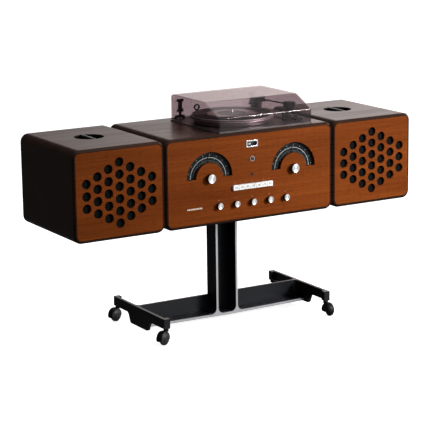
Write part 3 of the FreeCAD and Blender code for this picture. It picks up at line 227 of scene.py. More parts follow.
def turned(name, colour, rough, pitch, axis, **values):
    """Lathe-turned metal: fine rings about the piece's own axis."""
    s = Surface(name, metallic=1.0, anisotropic=0.75, **values)
    rings = s.wave(s.coords, pitch, axis, rings=True)
    cloud = s.noise(s.coords, scale=180, detail=3)
    s.colour(s.ramp(cloud, ((0.3, tuple(0.86 * c for c in colour)), (0.7, colour))))
    s.roughness(s.span(cloud, rough - 0.05, rough + 0.07))
    tangent = s.node("ShaderNodeTangent", direction_type="RADIAL", axis=axis)
    s.link(tangent.outputs["Tangent"], s.shader.inputs["Tangent"])
    s.bump(rings, 0.00002, 0.35)
    return s.material


def woven(name, colour, thread):
    """Coarse cloth: warp and weft threads over and under each other, seen along Y."""
    s = Surface(name, roughness=0.9, specular_ior_level=0.1)
    across = s.wave(s.stretched((1, 0, 0)), thread, "X")
    down = s.wave(s.stretched((0, 0, 1)), thread, "Z")
    weave = s.math(across, down, "MULTIPLY")
    s.colour(s.ramp(weave, ((0.1, tuple(0.35 * c for c in colour)), (0.7, colour))))
    s.bump(weave, 0.0004, 0.9)
    return s.material


def rubber(name, colour, rough):
    """Dull rubber with a trace of dust."""
    s = Surface(name)
    cloud = s.noise(s.coords, scale=40, detail=5)
    dust = s.noise(s.coords, scale=900, detail=2)
    s.colour(s.ramp(cloud, ((0.3, tuple(0.75 * c for c in colour)),
                            (0.7, tuple(1.3 * c for c in colour)))))
    s.roughness(s.span(dust, rough - 0.08, rough + 0.08))
    s.bump(dust, 0.00005, 0.4)
    return s.material


def smoked_sheet(name, tint, mirror):
    """Clear tinted plastic: what lies behind shows through, and its skin mirrors the room."""
    s = Surface(name, metallic=1.0)
    haze = s.noise(s.coords, scale=9, detail=4)
    s.colour(s.ramp(haze, ((0.3, tuple(0.9 * c for c in mirror)), (0.7, mirror))))
    scuffs = s.noise(s.stretched((60, 300, 300)), detail=3)
    s.roughness(s.span(scuffs, 0.05, 0.14))
    clear = s.node("ShaderNodeBsdfTransparent")
    clear.inputs["Color"].default_value = (*tint, 1)
    facing = s.node("ShaderNodeLayerWeight").outputs["Facing"]
    mirrored = s.math(s.math(s.math(facing, 5, "POWER"), 0.95, "MULTIPLY"), FACE_ON_MIRROR)
    mix = s.node("ShaderNodeMixShader")
    s.link(mirrored, mix.inputs["Fac"])
    s.link(clear.outputs["BSDF"], mix.inputs[1])
    s.link(s.shader.outputs["BSDF"], mix.inputs[2])
    s.link(mix.outputs["Shader"], s.tree.nodes["Material Output"].inputs["Surface"])
    return s.material


def laminated(name, colour):
    """A stack of thin iron sheets, painted over."""
    s = Surface(name, roughness=0.5)
    sheets = s.wave(s.stretched((0, 1, 0)), 900, "Y")
    s.colour(s.ramp(sheets, ((0.2, tuple(0.5 * c for c in colour)), (0.8, colour))))
    s.bump(sheets, 0.0002, 0.7)
    return s.material


VENEER = wood("walnut veneer", (0.13, 0.026, 0.003), (0.19, 0.041, 0.005), (0.26, 0.06, 0.009), 0.5,
              specular_ior_level=0.04)
LACQUER = wood("dark lacquered wood", (0.013, 0.005, 0.0025), (0.025, 0.0088, 0.0036),
               (0.04, 0.0125, 0.005), 0.29, grain=0.15, ior=1.3)
HARDBOARD = wood("hardboard", (0.05, 0.03, 0.018), (0.085, 0.052, 0.03), (0.12, 0.075, 0.045), 0.75,
                 grain=0.4)
BLACK_PAINT = painted("black casting paint", (0.006, 0.007, 0.0095), 0.42, specular_ior_level=0.3)
# A lighter copy of the black casting paint for the feet's upward faces: painted sheen from the light above.
FOOT_TOP_SHEEN = painted("painted sheen on the casting's top faces", (0.03, 0.03, 0.031), 0.35)
DECK_PAINT = painted("grey deck paint", (0.075, 0.064, 0.063), 0.36, speck=3000)
BARE_EDGE = brushed("bare machined aluminium", (0.62, 0.61, 0.64), 0.36)
STEEL = brushed("zinc plated steel", (0.5, 0.49, 0.46), 0.35)
CHROME = brushed("chrome", (0.82, 0.82, 0.84), 0.13, along=(1, 1, 1))
KNOB_FACE = turned("turned aluminium", (0.97, 0.96, 0.95), 0.36, 900, "Y", anisotropic_rotation=0.25)
PLATTER_METAL = turned("turned platter metal", (0.96, 0.93, 0.97), 0.32, 500, "Z")
KNOB_SIDE = moulded("dark knob side", (0.016, 0.013, 0.012), 0.4)
BLACK_PLASTIC = moulded("black plastic", (0.012, 0.011, 0.011), 0.38, specular_ior_level=0.35)
SOCKET_BROWN = moulded("brown socket body", (0.06, 0.022, 0.012), 0.4)
# Near-black paint for the faces of the handle recesses: painted shade of the deep recess.
RECESS_SHADE_BLACK = moulded("painted shade of the handle recess", (0.004, 0.004, 0.004), 0.5, specular_ior_level=0.25)
CASTER_BLACK = moulded("black caster plastic", (0.004, 0.004, 0.004), 0.45, specular_ior_level=0.25)
KEY_WHITE = moulded("white key plastic", (0.97, 0.96, 0.94), 0.25, depth=0.00002, coat_weight=0.3)
SCALE_BLACK = painted("dial black", (0.008, 0.0105, 0.0115), 0.55, specular_ior_level=0.08)
PRINT_WHITE = painted("white print", (0.62, 0.66, 0.64), 0.5, depth=0.00001)
PRINT_GREY = painted("grey print", (0.15, 0.165, 0.165), 0.5, depth=0.00001)
PRINT_DIM = painted("faint print", (0.12, 0.132, 0.135), 0.5, depth=0.00001)
PANEL_PRINT = painted("panel print", (0.34, 0.2, 0.13), 0.5, depth=0.00001)
CREAM = painted("cream badge enamel", (0.72, 0.6, 0.48), 0.35, depth=0.00001)
PRINT_DARK = painted("dark print", (0.03, 0.03, 0.035), 0.5, depth=0.00001)
POINTER_BROWN = painted("pointer paint", (0.022, 0.014, 0.012), 0.5, depth=0.00001, specular_ior_level=0.1)
CLOTH = woven("grille cloth", (0.009, 0.0105, 0.011), 420)
PAPER = painted("cone paper", (0.02, 0.02, 0.022), 0.8, speck=900, depth=0.0003)
CORE_IRON = laminated("laminated core", (0.05, 0.05, 0.055))
MAT_RUBBER = rubber("mat rubber", (0.018, 0.018, 0.019), 0.5)
MAT_RING = turned("turned ring of the mat", (0.42, 0.4, 0.4), 0.3, 400, "Z")
TYRE_RUBBER = rubber("tyre rubber", (0.013, 0.013, 0.013), 0.55)
SMOKED = smoked_sheet("smoked acrylic", (0.70, 0.64, 0.65), (0.45, 0.425, 0.43))
# A light grey for a patch on the meter face: painted light in the recessed meter window.
METER_PAINTED_LIGHT = painted("painted light in the meter window", (0.4, 0.42, 0.43), 0.6, depth=0.00001)


# ---------------------------------------------------------------- mesh helpers

def dress(name, *materials):
    """Give a CAD node its materials."""
    slots = nodes[name].data.materials
    slots.clear()
    for material in materials:
        slots.append(material)


def paint_faces(name, number, chosen):
    """Use another of a node's materials on the faces whose centre and normal pass the test."""
    for face in nodes[name].data.polygons:
        if chosen(face.center, face.normal):
            face.material_index = number


def soften(name, width, segments=2):
    """Round a CAD node's sharp edges a little."""
    obj = nodes[name]
    weld = obj.modifiers.new("weld", "WELD")
    weld.merge_threshold = 0.00001
    bevel = obj.modifiers.new("soft edges", "BEVEL")
    bevel.width = width
    bevel.segments = segments
    bevel.limit_method = "ANGLE"
    bevel.angle_limit = math.radians(SOFT_EDGE_ANGLE)
    bevel.harden_normals = True


def face_outwards(mesh):
    """Turn every face of a closed mesh outwards."""
    builder = bmesh.new()
    builder.from_mesh(mesh)
    bmesh.ops.recalc_face_normals(builder, faces=builder.faces)
    builder.to_mesh(mesh)
    builder.free()


def finish_piece(name, mesh, materials, place, body, crease=35):
    """Make an object from a mesh; its origin is at place, and it rides on a CAD body."""
    face_outwards(mesh)
    for face in mesh.polygons:
        face.use_smooth = True
    mesh.set_sharp_from_angle(angle=math.radians(crease))
    for material in materials:
        mesh.materials.append(material)
    obj = bpy.data.objects.new(name, mesh)
    bpy.context.scene.collection.objects.link(obj)
    obj.location = place
    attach(obj, body)
    return obj


def lathe_mesh(name, profile, steps, axis="Z", fluted_span=(0, 0), flutes=0, flute_depth=0.0):
    """A turned mesh; profile rows are (radius, distance, material number)."""
    mesh = bpy.data.meshes.new(name)
    builder = bmesh.new()
    rings = []
    for radius, along, _ in profile:
        fluted = flutes > 0 and fluted_span[0] <= along <= fluted_span[1]
        ring = []
        for step in range(1 if radius == 0 else steps):
            angle = 2 * math.pi * step / steps
            reach = radius
            if fluted:
                reach -= flute_depth * (0.5 + 0.5 * math.cos(flutes * angle))
            across, up = reach * math.cos(angle), reach * math.sin(angle)
            spot = (across, up, along) if axis == "Z" else (across, along, up)
            ring.append(builder.verts.new(spot))
        rings.append(ring)
    for first, second, row in zip(rings, rings[1:], profile[1:]):
        for step in range(steps):
            follow = (step + 1) % steps
            corners = [first[step % len(first)], first[follow % len(first)],
                       second[follow % len(second)], second[step % len(second)]]
            corners = list(dict.fromkeys(corners))
            if len(corners) > 2:
                builder.faces.new(corners).material_index = row[2]
    builder.to_mesh(mesh)
    builder.free()
    return mesh


def slabs_mesh(name, outlines, low, high, axis="Y"):
    """Flat plates with the given outlines, all between two levels along Y or Z."""
    mesh = bpy.data.meshes.new(name)
    builder = bmesh.new()
    for outline in outlines:
        ends = []
        for level in (low, high):
            spots = [(a, level, b) if axis == "Y" else (a, b, level) for a, b in outline]
            ends.append([builder.verts.new(spot) for spot in spots])
        builder.faces.new(ends[0])
        builder.faces.new(ends[1])
        count = len(outline)
        for index in range(count):
            follow = (index + 1) % count
            builder.faces.new([ends[0][index], ends[0][follow], ends[1][follow], ends[1][index]])
    builder.to_mesh(mesh)
    builder.free()
    return mesh


def bar_outline(x, z, wide, tall, lean=0.0):
    """An upright bar's four corners; lean shifts its top sideways."""
    return [(x - wide / 2, z - tall / 2), (x + wide / 2, z - tall / 2),
            (x + wide / 2 + lean, z + tall / 2), (x - wide / 2 + lean, z + tall / 2)]


def rounded_outline(wide, tall, radius, steps=5):
    """A rectangle with round corners about the origin."""
    outline = []
    for quarter, (sx, sz) in enumerate(((1, -1), (1, 1), (-1, 1), (-1, -1))):
        for step in range(steps + 1):
            angle = math.radians(90 * quarter - 90 + 90 * step / steps)
            outline.append((sx * (wide / 2 - radius) + radius * math.cos(angle),
                            sz * (tall / 2 - radius) + radius * math.sin(angle)))
    return outline


def arc_outline(radius, width, start, end, steps=40):
    """A thin band along an arc; angles are in degrees from the top, positive to the right."""
    def spot(reach, degrees):
        angle = math.radians(degrees)
        return (reach * math.sin(angle), reach * math.cos(angle))
    angles = [start + (end - start) * step / steps for step in range(steps + 1)]
    return ([spot(radius + width / 2, a) for a in angles]
            + [spot(radius - width / 2, a) for a in reversed(angles)])


def tick_outline(inner, outer, width, degrees):
    """A radial tick at an angle from the top."""
    angle = math.radians(degrees)
    out = Vector((math.sin(angle), math.cos(angle)))
    side = Vector((out.y, -out.x)) * width / 2
    return [tuple(out * inner - side), tuple(out * inner + side),
            tuple(out * outer + side), tuple(out * outer - side)]


def front_middle(name):
    """The middle of the front side of a node's box."""
    low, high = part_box(name)
    return Vector(((low.x + high.x) / 2, low.y, (low.z + high.z) / 2))


# ---------------------------------------------------------------- cabinets

front_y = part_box("cabinet_front")[0].y
top_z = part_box("cabinet_shell")[1].z

dress("cabinet_front", VENEER)
soften("cabinet_front", 0.7 * MM)
dress("cabinet_shell", LACQUER)
dress("cabinet_back", HARDBOARD)
soften("cabinet_back", 0.5 * MM)
dress("chassis", STEEL)
dress("power_transformer", CORE_IRON)
dress("speaker_studs", STEEL)
soften("speaker_studs", 0.6 * MM)

HANDLE_RADIUS = 46 * MM
HANDLE_DEEP = 38 * MM
# Width of a bright metal strip laid along each handle bar: a painted highlight of the bar's rounded top.
HIGHLIGHT_STRIP_WIDE = 2.4 * MM


def shaded_recess_test(handle):
    """A test for the faces of the handle recess about a point on the shell's top."""
    def in_shaded_recess(centre, normal):
        reach = (centre - handle).xy.length
        depth = handle.z - centre.z
        if depth > 0.05 * MM:
            return depth < HANDLE_DEEP + MM and reach < HANDLE_RADIUS + 0.5 * MM
        return reach < HANDLE_RADIUS - 0.05 * MM
    return in_shaded_recess


for side in SIDES:
    speaker = f"{side}_speaker"
    shell = f"{speaker}_shell"
    low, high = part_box(shell)
    grip_low, grip_high = openings[f"{side}_handle_under_bar"]
    handle = Vector(((low.x + high.x) / 2, (grip_low.y + grip_high.y) / 2, high.z))
    dress(shell, LACQUER, RECESS_SHADE_BLACK)
    # The recess faces get the near-black paint: painted shade inside the handle.
    paint_faces(shell, 1, shaded_recess_test(handle))
    dress(f"{speaker}_grille", VENEER)
    soften(f"{speaker}_grille", 0.6 * MM)
    dress(f"{speaker}_cloth", CLOTH)
    dress(f"{speaker}_driver", PAPER)
    # A bright metal strip on top of the handle bar: painted highlight.
    highlight_strip_outline = rounded_outline(HIGHLIGHT_STRIP_WIDE, 2 * HANDLE_RADIUS - 4 * MM, 1.4 * MM)
    strip = slabs_mesh(f"{side} handle highlight strip", [highlight_strip_outline], -0.3 * MM, 0.5 * MM, axis="Z")
    finish_piece(f"{side}_handle_highlight_strip", strip, [BARE_EDGE], handle, speaker)


# ---------------------------------------------------------------- knobs and keys

SHAFT_RADIUS = 3 * MM
CONTROL_NUMBERS = range(1, 6)
KEY_NUMBERS = range(1, 8)
# middle across and up, width, height and lean, in millimetres
KEY_MARK_BARS = ((-3.6, 0.4, 1.6, 5.8, 2.0), (2.4, 2.0, 5.4, 1.5, 0.0), (2.8, -1.6, 4.0, 1.4, 0.6))


def make_knob(name, body):
    """A knob with a turned, slightly dished face, fluted dark sides and a pointer notch."""
    low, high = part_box(name)
    radius = (high.x - low.x) / 2
    length = front_y - low.y
    fluted_span = (2.0 * MM, length - 2.2 * MM)
    profile = [(0, 0.4 * MM, 0), (0.30 * radius, 0.35 * MM, 0), (0.80 * radius, 0.15 * MM, 0),
               (0.84 * radius, 0.0, 0), (0.93 * radius, 0.0, 0), (radius, 0.9 * MM, 0),
               (radius, 1.6 * MM, 1), (radius, fluted_span[0], 1), (radius, fluted_span[1], 1),
               (radius, length - 1.7 * MM, 1), (radius - 0.6 * MM, length - 0.9 * MM, 1),
               (SHAFT_RADIUS, length - 0.9 * MM, 1), (SHAFT_RADIUS, high.y - low.y, 2),
               (0, high.y - low.y, 2)]
    mesh = lathe_mesh(name + "_turned", profile, steps=144, axis="Y", fluted_span=fluted_span,
                      flutes=36, flute_depth=0.7 * MM)
    centre = front_middle(name)
    knob = finish_piece(name + "_turned", mesh, [KNOB_FACE, KNOB_SIDE, STEEL], centre, body,
                        30)
    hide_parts(name)
    notch = slabs_mesh(name + "_notch", [bar_outline(0, 0.6 * radius, 0.9 * MM, 0.5 * radius)],
                       -0.06 * MM, 0.5 * MM)
    finish_piece(name + "_notch", notch, [PRINT_DARK], centre, body)


for side in SIDES:
    make_knob(f"{side}_tuning_knob", f"{side}_tuning")
for number in CONTROL_NUMBERS:
    make_knob(f"control_knob_{number}", f"control_{number}")

for number in KEY_NUMBERS:
    name = f"key_{number}"
    dress(name, KEY_WHITE)
    soften(name, 0.5 * MM, segments=3)
    outlines = [bar_outline(*(value * MM for value in bar)) for bar in KEY_MARK_BARS]
    mesh = slabs_mesh(f"{name}_mark", outlines, -0.08 * MM, 0.1 * MM)
    finish_piece(f"{name}_mark", mesh, [PRINT_DARK], front_middle(name), f"{name}_body")

key_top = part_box("key_1")[1].z
marks = []
for number in KEY_NUMBERS:
    marks.append(bar_outline(front_middle(f"key_{number}").x, key_top + 6.5 * MM, 3.4 * MM, 1.0 * MM))
for number in CONTROL_NUMBERS:
    name = f"control_knob_{number}"
    knob_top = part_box(name)[1].z
    marks.append(bar_outline(front_middle(name).x, knob_top + 7 * MM, 5.5 * MM, 1.1 * MM))
finish_piece("panel_print", slabs_mesh("panel_print", marks, front_y - 0.1 * MM, front_y + 0.1 * MM),
             [PANEL_PRINT], (0, 0, 0), "root")
dress("key_frame", BLACK_PLASTIC)


# ---------------------------------------------------------------- dials

dress("dial_scales", SCALE_BLACK)
scale_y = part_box("dial_scales")[0].y
ARC_RADIUS = 63 * MM
ARC_END = 89
INNER_ARC_RADIUS = 53.5 * MM
INNER_ARC_END = 88
# first angle and pitch in degrees, and how many
FINE_TICKS = (-84, 3.5, 49)
OUTER_TICKS = (-85, 5, 35)
INNER_TICKS = (-82.5, 7.5, 23)
FINE_TICK_TOP = 1.4 * MM
OUTER_TICK_SPAN = (74.5 * MM, 79.0 * MM)
BLOCK_SPAN = (68.5 * MM, 72.5 * MM)
INNER_TICK_SPAN = (49.0 * MM, 51.5 * MM)
PRINT_DEEP = 0.2 * MM


def ring_steps(spread):
    """Numbers and angles of a ring's ticks."""
    first, pitch, count = spread
    return [(step, first + pitch * step) for step in range(count)]


for side in SIDES:
    centre = Vector(joints[f"{side}_tuning_turn"]["pos_m"])
    inner_ring = [arc_outline(INNER_ARC_RADIUS, 0.5 * MM, -INNER_ARC_END, INNER_ARC_END)]
    outer_ring = []
    for step, degrees in ring_steps(FINE_TICKS):
        length, width = (5.5 * MM, 0.9 * MM) if step % 6 == 0 else (3.2 * MM, 0.5 * MM)
        inner_ring.append(tick_outline(ARC_RADIUS - length, ARC_RADIUS - FINE_TICK_TOP, width, degrees))
    for step, degrees in ring_steps(OUTER_TICKS):
        outer_ring.append(tick_outline(*OUTER_TICK_SPAN, 0.8 * MM, degrees))
        if step % 4 == 2:
            outer_ring.append(tick_outline(*BLOCK_SPAN, 2.4 * MM, degrees))
    for step, degrees in ring_steps(INNER_TICKS):
        inner_ring.append(tick_outline(*INNER_TICK_SPAN, 0.9 * MM, degrees))
    arc = [arc_outline(ARC_RADIUS, 1.1 * MM, -ARC_END, ARC_END)]
    for part, outlines, print_look in (("arc", arc, PRINT_WHITE), ("ticks", inner_ring, PRINT_GREY),
                                       ("marks", outer_ring, PRINT_DIM)):
        mesh = slabs_mesh(f"{side}_dial_{part}", outlines, -PRINT_DEEP, 0.1 * MM)
        finish_piece(f"{side}_dial_{part}", mesh, [print_look], (centre.x, scale_y, centre.z), "root")
    dress(f"{side}_pointer", POINTER_BROWN)


# ---------------------------------------------------------------- meter, sockets, badge

dress("tuning_meter", CHROME)
soften("tuning_meter", 0.5 * MM)
meter = front_middle("tuning_meter")
meter.y = front_y + 4 * MM
METER_WIDE = 34 * MM
METER_TALL = 14 * MM
METER_TICKS = 8
METER_PITCH = 4 * MM
# corners across and up, in millimetres, of a lighter patch on the black meter face: painted light falling into the
# recessed window
METER_LIT_PATCH = ((-11, -3.4), (-3, -3.4), (-1.5, 2), (-11, 2))
face = slabs_mesh("meter_face", [rounded_outline(METER_WIDE, METER_TALL, 0.6 * MM)], -0.6 * MM, 0.0)
finish_piece("meter_face", face, [SCALE_BLACK], meter, "root")
lit_patch_outline = [(across * MM, up * MM) for across, up in METER_LIT_PATCH]
field = slabs_mesh("meter_lit_patch", [lit_patch_outline], -0.8 * MM, -0.5 * MM)
finish_piece("meter_lit_patch", field, [METER_PAINTED_LIGHT], meter, "root")
lines = [bar_outline((step - (METER_TICKS - 1) / 2) * METER_PITCH, 4.6 * MM, 0.6 * MM,
                     (2.4 if step % 2 else 1.4) * MM) for step in range(METER_TICKS)]
lines.append(bar_outline(0, 3.2 * MM, 30 * MM, 0.4 * MM))
lines.append(bar_outline(1.5 * MM, -1 * MM, 0.8 * MM, 9 * MM, 3 * MM))
finish_piece("meter_print", slabs_mesh("meter_print", lines, -1.0 * MM, -0.7 * MM), [PRINT_GREY], meter,
             "root")
dress("front_sockets", CHROME, BLACK_PLASTIC)
low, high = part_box("front_sockets")
sockets_middle = (low.z + high.z) / 2
ring_place = Vector(((low.x + high.x) / 2, low.y, high.z - (high.x - low.x) / 2))
INLAY_RADIUS = (3.3 * MM, 7.0 * MM)
INLAY_THICK = 0.15 * MM
inlay = [(INLAY_RADIUS[0], 0, 0), (INLAY_RADIUS[0], -INLAY_THICK, 0),
         (INLAY_RADIUS[1], -INLAY_THICK, 0), (INLAY_RADIUS[1], 0, 0)]
finish_piece("socket_inlay", lathe_mesh("socket_inlay", inlay, steps=48, axis="Y"), [SOCKET_BROWN],
             ring_place, "root")
paint_faces("front_sockets", 1, lambda centre, normal: centre.z < sockets_middle)
soften("front_sockets", 0.3 * MM)

BADGE_FROM_LEFT = 91 * MM
BADGE_FROM_BELOW = 49 * MM
BADGE_WIDE = 53 * MM
BADGE_TALL = 4.6 * MM
NOTCHES = 9
NOTCH_PITCH = 5.4 * MM
low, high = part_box("cabinet_front")
badge_place = Vector((low.x + BADGE_FROM_LEFT, front_y, low.z + BADGE_FROM_BELOW))
badge = slabs_mesh("badge", [rounded_outline(BADGE_WIDE, BADGE_TALL, 1.4 * MM)], -0.9 * MM, 0.1 * MM)
finish_piece("badge", badge, [CREAM], badge_place, "root")
notches = [bar_outline((step - (NOTCHES - 1) / 2) * NOTCH_PITCH, 0, 1.2 * MM, 3.4 * MM)
           for step in range(NOTCHES)]
finish_piece("badge_notches", slabs_mesh("badge_notches", notches, -1.0 * MM, -0.85 * MM), [KNOB_SIDE],
             badge_place, "root")


# ---------------------------------------------------------------- stand and casters

dress("stand_frame", BLACK_PAINT, BARE_EDGE, FOOT_TOP_SHEEN)
foot_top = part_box("left_foot")[1].z
flange_y = min(face.center.y for face in nodes["stand_frame"].data.polygons
               if face.normal.y < -0.99 and face.center.z < top_z / 4)
paint_faces("stand_frame", 1, lambda centre, normal: normal.y < -0.95 and abs(centre.y - flange_y) < MM)


def on_foot_top(centre, normal):
    return normal.z > 0.95 and abs(centre.z - foot_top) < MM


# The upward faces at the top of the feet get the lighter paint: painted sheen.
paint_faces("stand_frame", 2, on_foot_top)
soften("stand_frame", 0.9 * MM)
for side in SIDES:
    name = f"{side}_foot"
    dress(name, BLACK_PAINT, FOOT_TOP_SHEEN)
    # The feet's top faces take the lighter paint: painted sheen.
    paint_faces(name, 1, on_foot_top)
    soften(name, 1.0 * MM)
    for end in ("front", "back"):
        dress(f"{side}_{end}_caster_hood", CASTER_BLACK)
        dress(f"{side}_{end}_caster_wheel", TYRE_RUBBER)


# ---------------------------------------------------------------- turntable

dress("deck_plate", DECK_PAINT, BLACK_PLASTIC)
DECK_THICK = 3 * MM
paint_faces("deck_plate", 1, lambda centre, normal: centre.z > top_z + DECK_THICK + 0.2 * MM)
soften("deck_plate", 0.5 * MM)
dress("turntable_motor", STEEL)
dress("motor_pulley", STEEL)
dress("idler_wheel", TYRE_RUBBER)
BLACK_PIECES = (("tonearm_base", 0.8), ("tonearm_yoke", 0.8), ("tonearm", 0.8), ("start_lever", 1.2),
                ("speed_lever", 0.8), ("lid_hinge_arms", 0.4), ("hinge_posts", 0.4))
for name, edge in BLACK_PIECES:
    dress(name, BLACK_PLASTIC)
    soften(name, edge * MM)
dress("lid", SMOKED)

low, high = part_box("platter")
platter_radius = (high.x - low.x) / 2
mat_low, mat_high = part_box("platter_mat")
mat_radius = (mat_high.x - mat_low.x) / 2
platter_place = Vector(((low.x + high.x) / 2, (low.y + high.y) / 2, mat_low.z))
SKIRT_DEEP = 21 * MM
SKIRT_RADIUS = (116 * MM, 121 * MM)
SPINDLE_RADIUS = (5 * MM, 3.6 * MM)
RIM_DEEP = 10 * MM
PLATE_THICK = 5 * MM
# inset from the platter's edge and level, in millimetres, and material number; material 1 paints the faces of the
# small groove in the rim black: painted shade in the groove
RIM_BEADS = ((0.9, -9.5, 0), (0.1, -9.0, 0), (0.0, -8.4, 0), (0.2, -7.3, 0), (0.6, -6.0, 0), (1.3, -4.9, 0),
             (2.1, -4.5, 1), (2.2, -3.6, 1), (1.5, -3.4, 1), (1.5, -2.9, 0), (1.8, -1.8, 0), (2.3, -0.8, 0),
             (3.0, -0.2, 0), (3.9, 0.0, 0))
profile = [(0, low.z - mat_low.z, 0), (SPINDLE_RADIUS[0], low.z - mat_low.z, 0),
           (SPINDLE_RADIUS[0], -PLATE_THICK, 0), (SKIRT_RADIUS[0], -PLATE_THICK, 0),
           (SKIRT_RADIUS[0], -SKIRT_DEEP, 0), (SKIRT_RADIUS[1], -SKIRT_DEEP, 0),
           (SKIRT_RADIUS[1], -RIM_DEEP, 0), (platter_radius - 2 * MM, -RIM_DEEP, 0)]
profile += [(platter_radius - inset * MM, level * MM, material)
            for inset, level, material in RIM_BEADS]
profile += [(mat_radius, 0, 0), (SPINDLE_RADIUS[1], 0, 0),
            (SPINDLE_RADIUS[1], high.z - mat_low.z - 1.2 * MM, 0),
            (SPINDLE_RADIUS[1] - MM, high.z - mat_low.z, 0), (0, high.z - mat_low.z, 0)]
# The groove faces of the rim take the black plastic: painted shade.
platter = finish_piece("turned_platter", lathe_mesh("turned_platter", profile, steps=160),
                       [PLATTER_METAL, BLACK_PLASTIC], platter_place, "platter_body", 40)
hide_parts("platter")

RING_OUTER = 78 * MM
RING_INNER = 46 * MM
MAT_HOLE_RADIUS = 3.7 * MM
thick = mat_high.z - mat_low.z
profile = [(MAT_HOLE_RADIUS, 0, 0), (mat_radius, 0, 0), (mat_radius, thick - 0.6 * MM, 0),
           (mat_radius - 0.6 * MM, thick, 0)]
RIB_PITCH = 5.0 * MM
RIB_DEEP = 1.0 * MM
reach = mat_radius - 4 * MM
while reach > RING_OUTER + 6 * MM:
    profile += [(reach, thick, 0), (reach - 0.7 * MM, thick - RIB_DEEP, 0),
                (reach - 2.2 * MM, thick - RIB_DEEP, 0), (reach - 2.9 * MM, thick, 0)]
    reach -= RIB_PITCH
profile += [(RING_OUTER, thick, 0), (RING_OUTER - 0.5 * MM, thick - 0.6 * MM, 0),
            (RING_INNER + 0.5 * MM, thick - 0.6 * MM, 1), (RING_INNER, thick, 0),
            (20 * MM, thick, 0), (18 * MM, thick - 0.4 * MM, 0),
            (MAT_HOLE_RADIUS, thick - 0.4 * MM, 0), (MAT_HOLE_RADIUS, 0, 0)]
mat = finish_piece("ribbed_mat", lathe_mesh("ribbed_mat", profile, steps=120), [MAT_RUBBER, MAT_RING],
                   platter_place, "platter_body", 25)
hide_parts("platter_mat")


# ---------------------------------------------------------------- back

dress("rear_sockets", BLACK_PLASTIC)
soften("rear_sockets", 0.3 * MM)


def screw_mesh():
    """A round-headed screw with one slot, its head towards the back."""
    profile = [(0, 1.9 * MM, 0), (1.4 * MM, 1.75 * MM, 0), (2.6 * MM, 1.3 * MM, 0),
               (3.4 * MM, 0.5 * MM, 0), (3.5 * MM, 0, 0), (0, 0, 0)]
    slot_mesh = slabs_mesh("screw_slot", [bar_outline(0, 0, 8 * MM, 0.8 * MM)], 1.0 * MM, 3 * MM)
    head = bpy.data.objects.new("screw_head", lathe_mesh("screw_head", profile, steps=32, axis="Y"))
    slot = bpy.data.objects.new("screw_slot", slot_mesh)
    for obj in (head, slot):
        bpy.context.scene.collection.objects.link(obj)
        face_outwards(obj.data)
    carve = head.modifiers.new("slot", "BOOLEAN")
    carve.operation = "DIFFERENCE"
    carve.object = slot
    bpy.context.view_layer.update()
    evaluated = head.evaluated_get(bpy.context.evaluated_depsgraph_get())
    mesh = bpy.data.meshes.new_from_object(evaluated)
    for obj in (head, slot):
        bpy.data.objects.remove(obj)
    mesh.name = "slotted_screw"
    return mesh


SCREW_SHARES = (0.04, 0.35, 0.65, 0.96)
SCREW_INSET = 10 * MM
low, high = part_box("cabinet_back")
screw_shape = screw_mesh()
spots = [(low.x + (high.x - low.x) * share, z) for share in SCREW_SHARES
         for z in (low.z + SCREW_INSET, high.z - SCREW_INSET)]
for number, (x, z) in enumerate(spots):
    finish_piece(f"back_screw_{number}", screw_shape.copy(), [STEEL], (x, high.y, z), "root", 40)


# ---------------------------------------------------------------- floor, light and camera

FLOOR_RADIUS = 60
floor_mesh = bpy.data.meshes.new("floor")
builder = bmesh.new()
bmesh.ops.create_circle(builder, cap_ends=True, radius=FLOOR_RADIUS, segments=64)
builder.to_mesh(floor_mesh)
builder.free()
floor = bpy.data.objects.new("floor", floor_mesh)
bpy.context.scene.collection.objects.link(floor)
floor_look = Surface("pale floor", roughness=0.9, specular_ior_level=0.1, emission_strength=0.86)
floor_look.colour(floor_look.ramp(floor_look.noise(floor_look.coords, scale=3),
                                  ((0.3, (0.86, 0.86, 0.86)), (0.7, (0.9, 0.9, 0.9)))))
floor_look.shader.inputs["Emission Color"].default_value = (1, 1, 1, 1)
floor_mesh.materials.append(floor_look.material)
floor.visible_glossy = False
floor.visible_diffuse = False

world = bpy.data.worlds.new("studio")
bpy.context.scene.world = world
world.use_nodes = True
tree = world.node_tree
tree.nodes.clear()
direction = tree.nodes.new("ShaderNodeTexCoord").outputs["Generated"]


def lobe(towards, start, end, low, high, colour=(1, 1, 1)):
    """The room's light, from low to high as a direction nears the given one."""
    dot = tree.nodes.new("ShaderNodeVectorMath")
    dot.operation = "DOT_PRODUCT"
    tree.links.new(direction, dot.inputs[0])
    dot.inputs[1].default_value = Vector(towards).normalized()
    spread = tree.nodes.new("ShaderNodeMapRange")
    spread.interpolation_type = "SMOOTHSTEP"
    for label, value in (("From Min", start), ("From Max", end), ("To Min", low), ("To Max", high)):
        spread.inputs[label].default_value = value
    tree.links.new(dot.outputs["Value"], spread.inputs["Value"])
    tinted = tree.nodes.new("ShaderNodeVectorMath")
    tinted.operation = "SCALE"
    tinted.inputs[0].default_value = colour
    tree.links.new(spread.outputs["Result"], tinted.inputs["Scale"])
    return tinted.outputs["Vector"]


def add_light(first, second):
    """The room's light from two lobes together."""
    total = tree.nodes.new("ShaderNodeVectorMath")
    tree.links.new(first, total.inputs[0])
    tree.links.new(second, total.inputs[1])
    return total.outputs["Vector"]


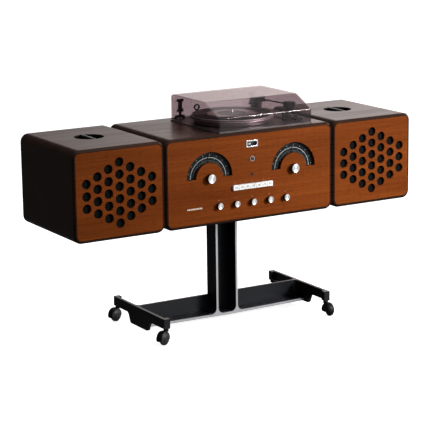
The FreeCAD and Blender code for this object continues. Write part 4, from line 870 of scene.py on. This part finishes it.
OVERHEAD_TOWARDS = (0.45, -0.55, 0.7)
WINDOW_TOWARDS = (0.8, 0.57, 0.25)
WINDOW_COLOUR = (0.965, 0.86, 0.83)
CARD_TOWARDS = (0.6, -0.77, -0.2)
sky = lobe(OVERHEAD_TOWARDS, 0.0, 0.9, 0.055, 0.48)
window = lobe(WINDOW_TOWARDS, 0.8, 1.0, 0.0, 1.83, WINDOW_COLOUR)
front_card = lobe(CARD_TOWARDS, 0.92, 0.985, 0.0, 0.65)
room = tree.nodes.new("ShaderNodeBackground")
tree.links.new(add_light(add_light(sky, window), front_card), room.inputs["Color"])
out = tree.nodes.new("ShaderNodeOutputWorld")
tree.links.new(room.outputs["Background"], out.inputs["Surface"])


def area_light(name, place, target, size, power, spread=180):
    """A square soft light at a place, turned towards its target; spread is in degrees."""
    data = bpy.data.lights.new(name, "AREA")
    data.size = size
    data.energy = power
    data.spread = math.radians(spread)
    lamp = bpy.data.objects.new(name, data)
    bpy.context.scene.collection.objects.link(lamp)
    lamp.location = place
    lamp.rotation_mode = "QUATERNION"
    lamp.rotation_quaternion = (Vector(place) - Vector(target)).to_track_quat("Z", "Y")


area_light("key", (1.75, -2.3, 1.5), (0.38, front_y, 0.5), size=0.7, power=11.5, spread=60)
area_light("overhead", (0.5, 1.2, 3.8), (0, 0, 0.6), size=2.5, power=45)

CAMERA_PLACE = (-2.7699, -4.6299, 1.5413)
CAMERA_AZIMUTH = 30.62
CAMERA_DOWN = 12.52
CAMERA_ROLL = -0.76
CAMERA_LENS = 145.36

turn, down, roll = (math.radians(angle) for angle in (CAMERA_AZIMUTH, CAMERA_DOWN, CAMERA_ROLL))
ahead = Vector((math.sin(turn) * math.cos(down), math.cos(turn) * math.cos(down), -math.sin(down)))
level = Vector((math.cos(turn), -math.sin(turn), 0))
above = level.cross(ahead)
right = level * math.cos(roll) + above * math.sin(roll)
up = above * math.cos(roll) - level * math.sin(roll)
camera_data = bpy.data.cameras.new("camera")
camera_data.lens = CAMERA_LENS
camera_data.sensor_width = 36
camera = bpy.data.objects.new("camera", camera_data)
bpy.context.scene.collection.objects.link(camera)
camera.matrix_world = Matrix.Translation(CAMERA_PLACE) @ Matrix((right, up, -ahead)).transposed().to_4x4()
bpy.context.scene.camera = camera
bpy.context.scene.view_settings.view_transform = "Standard"
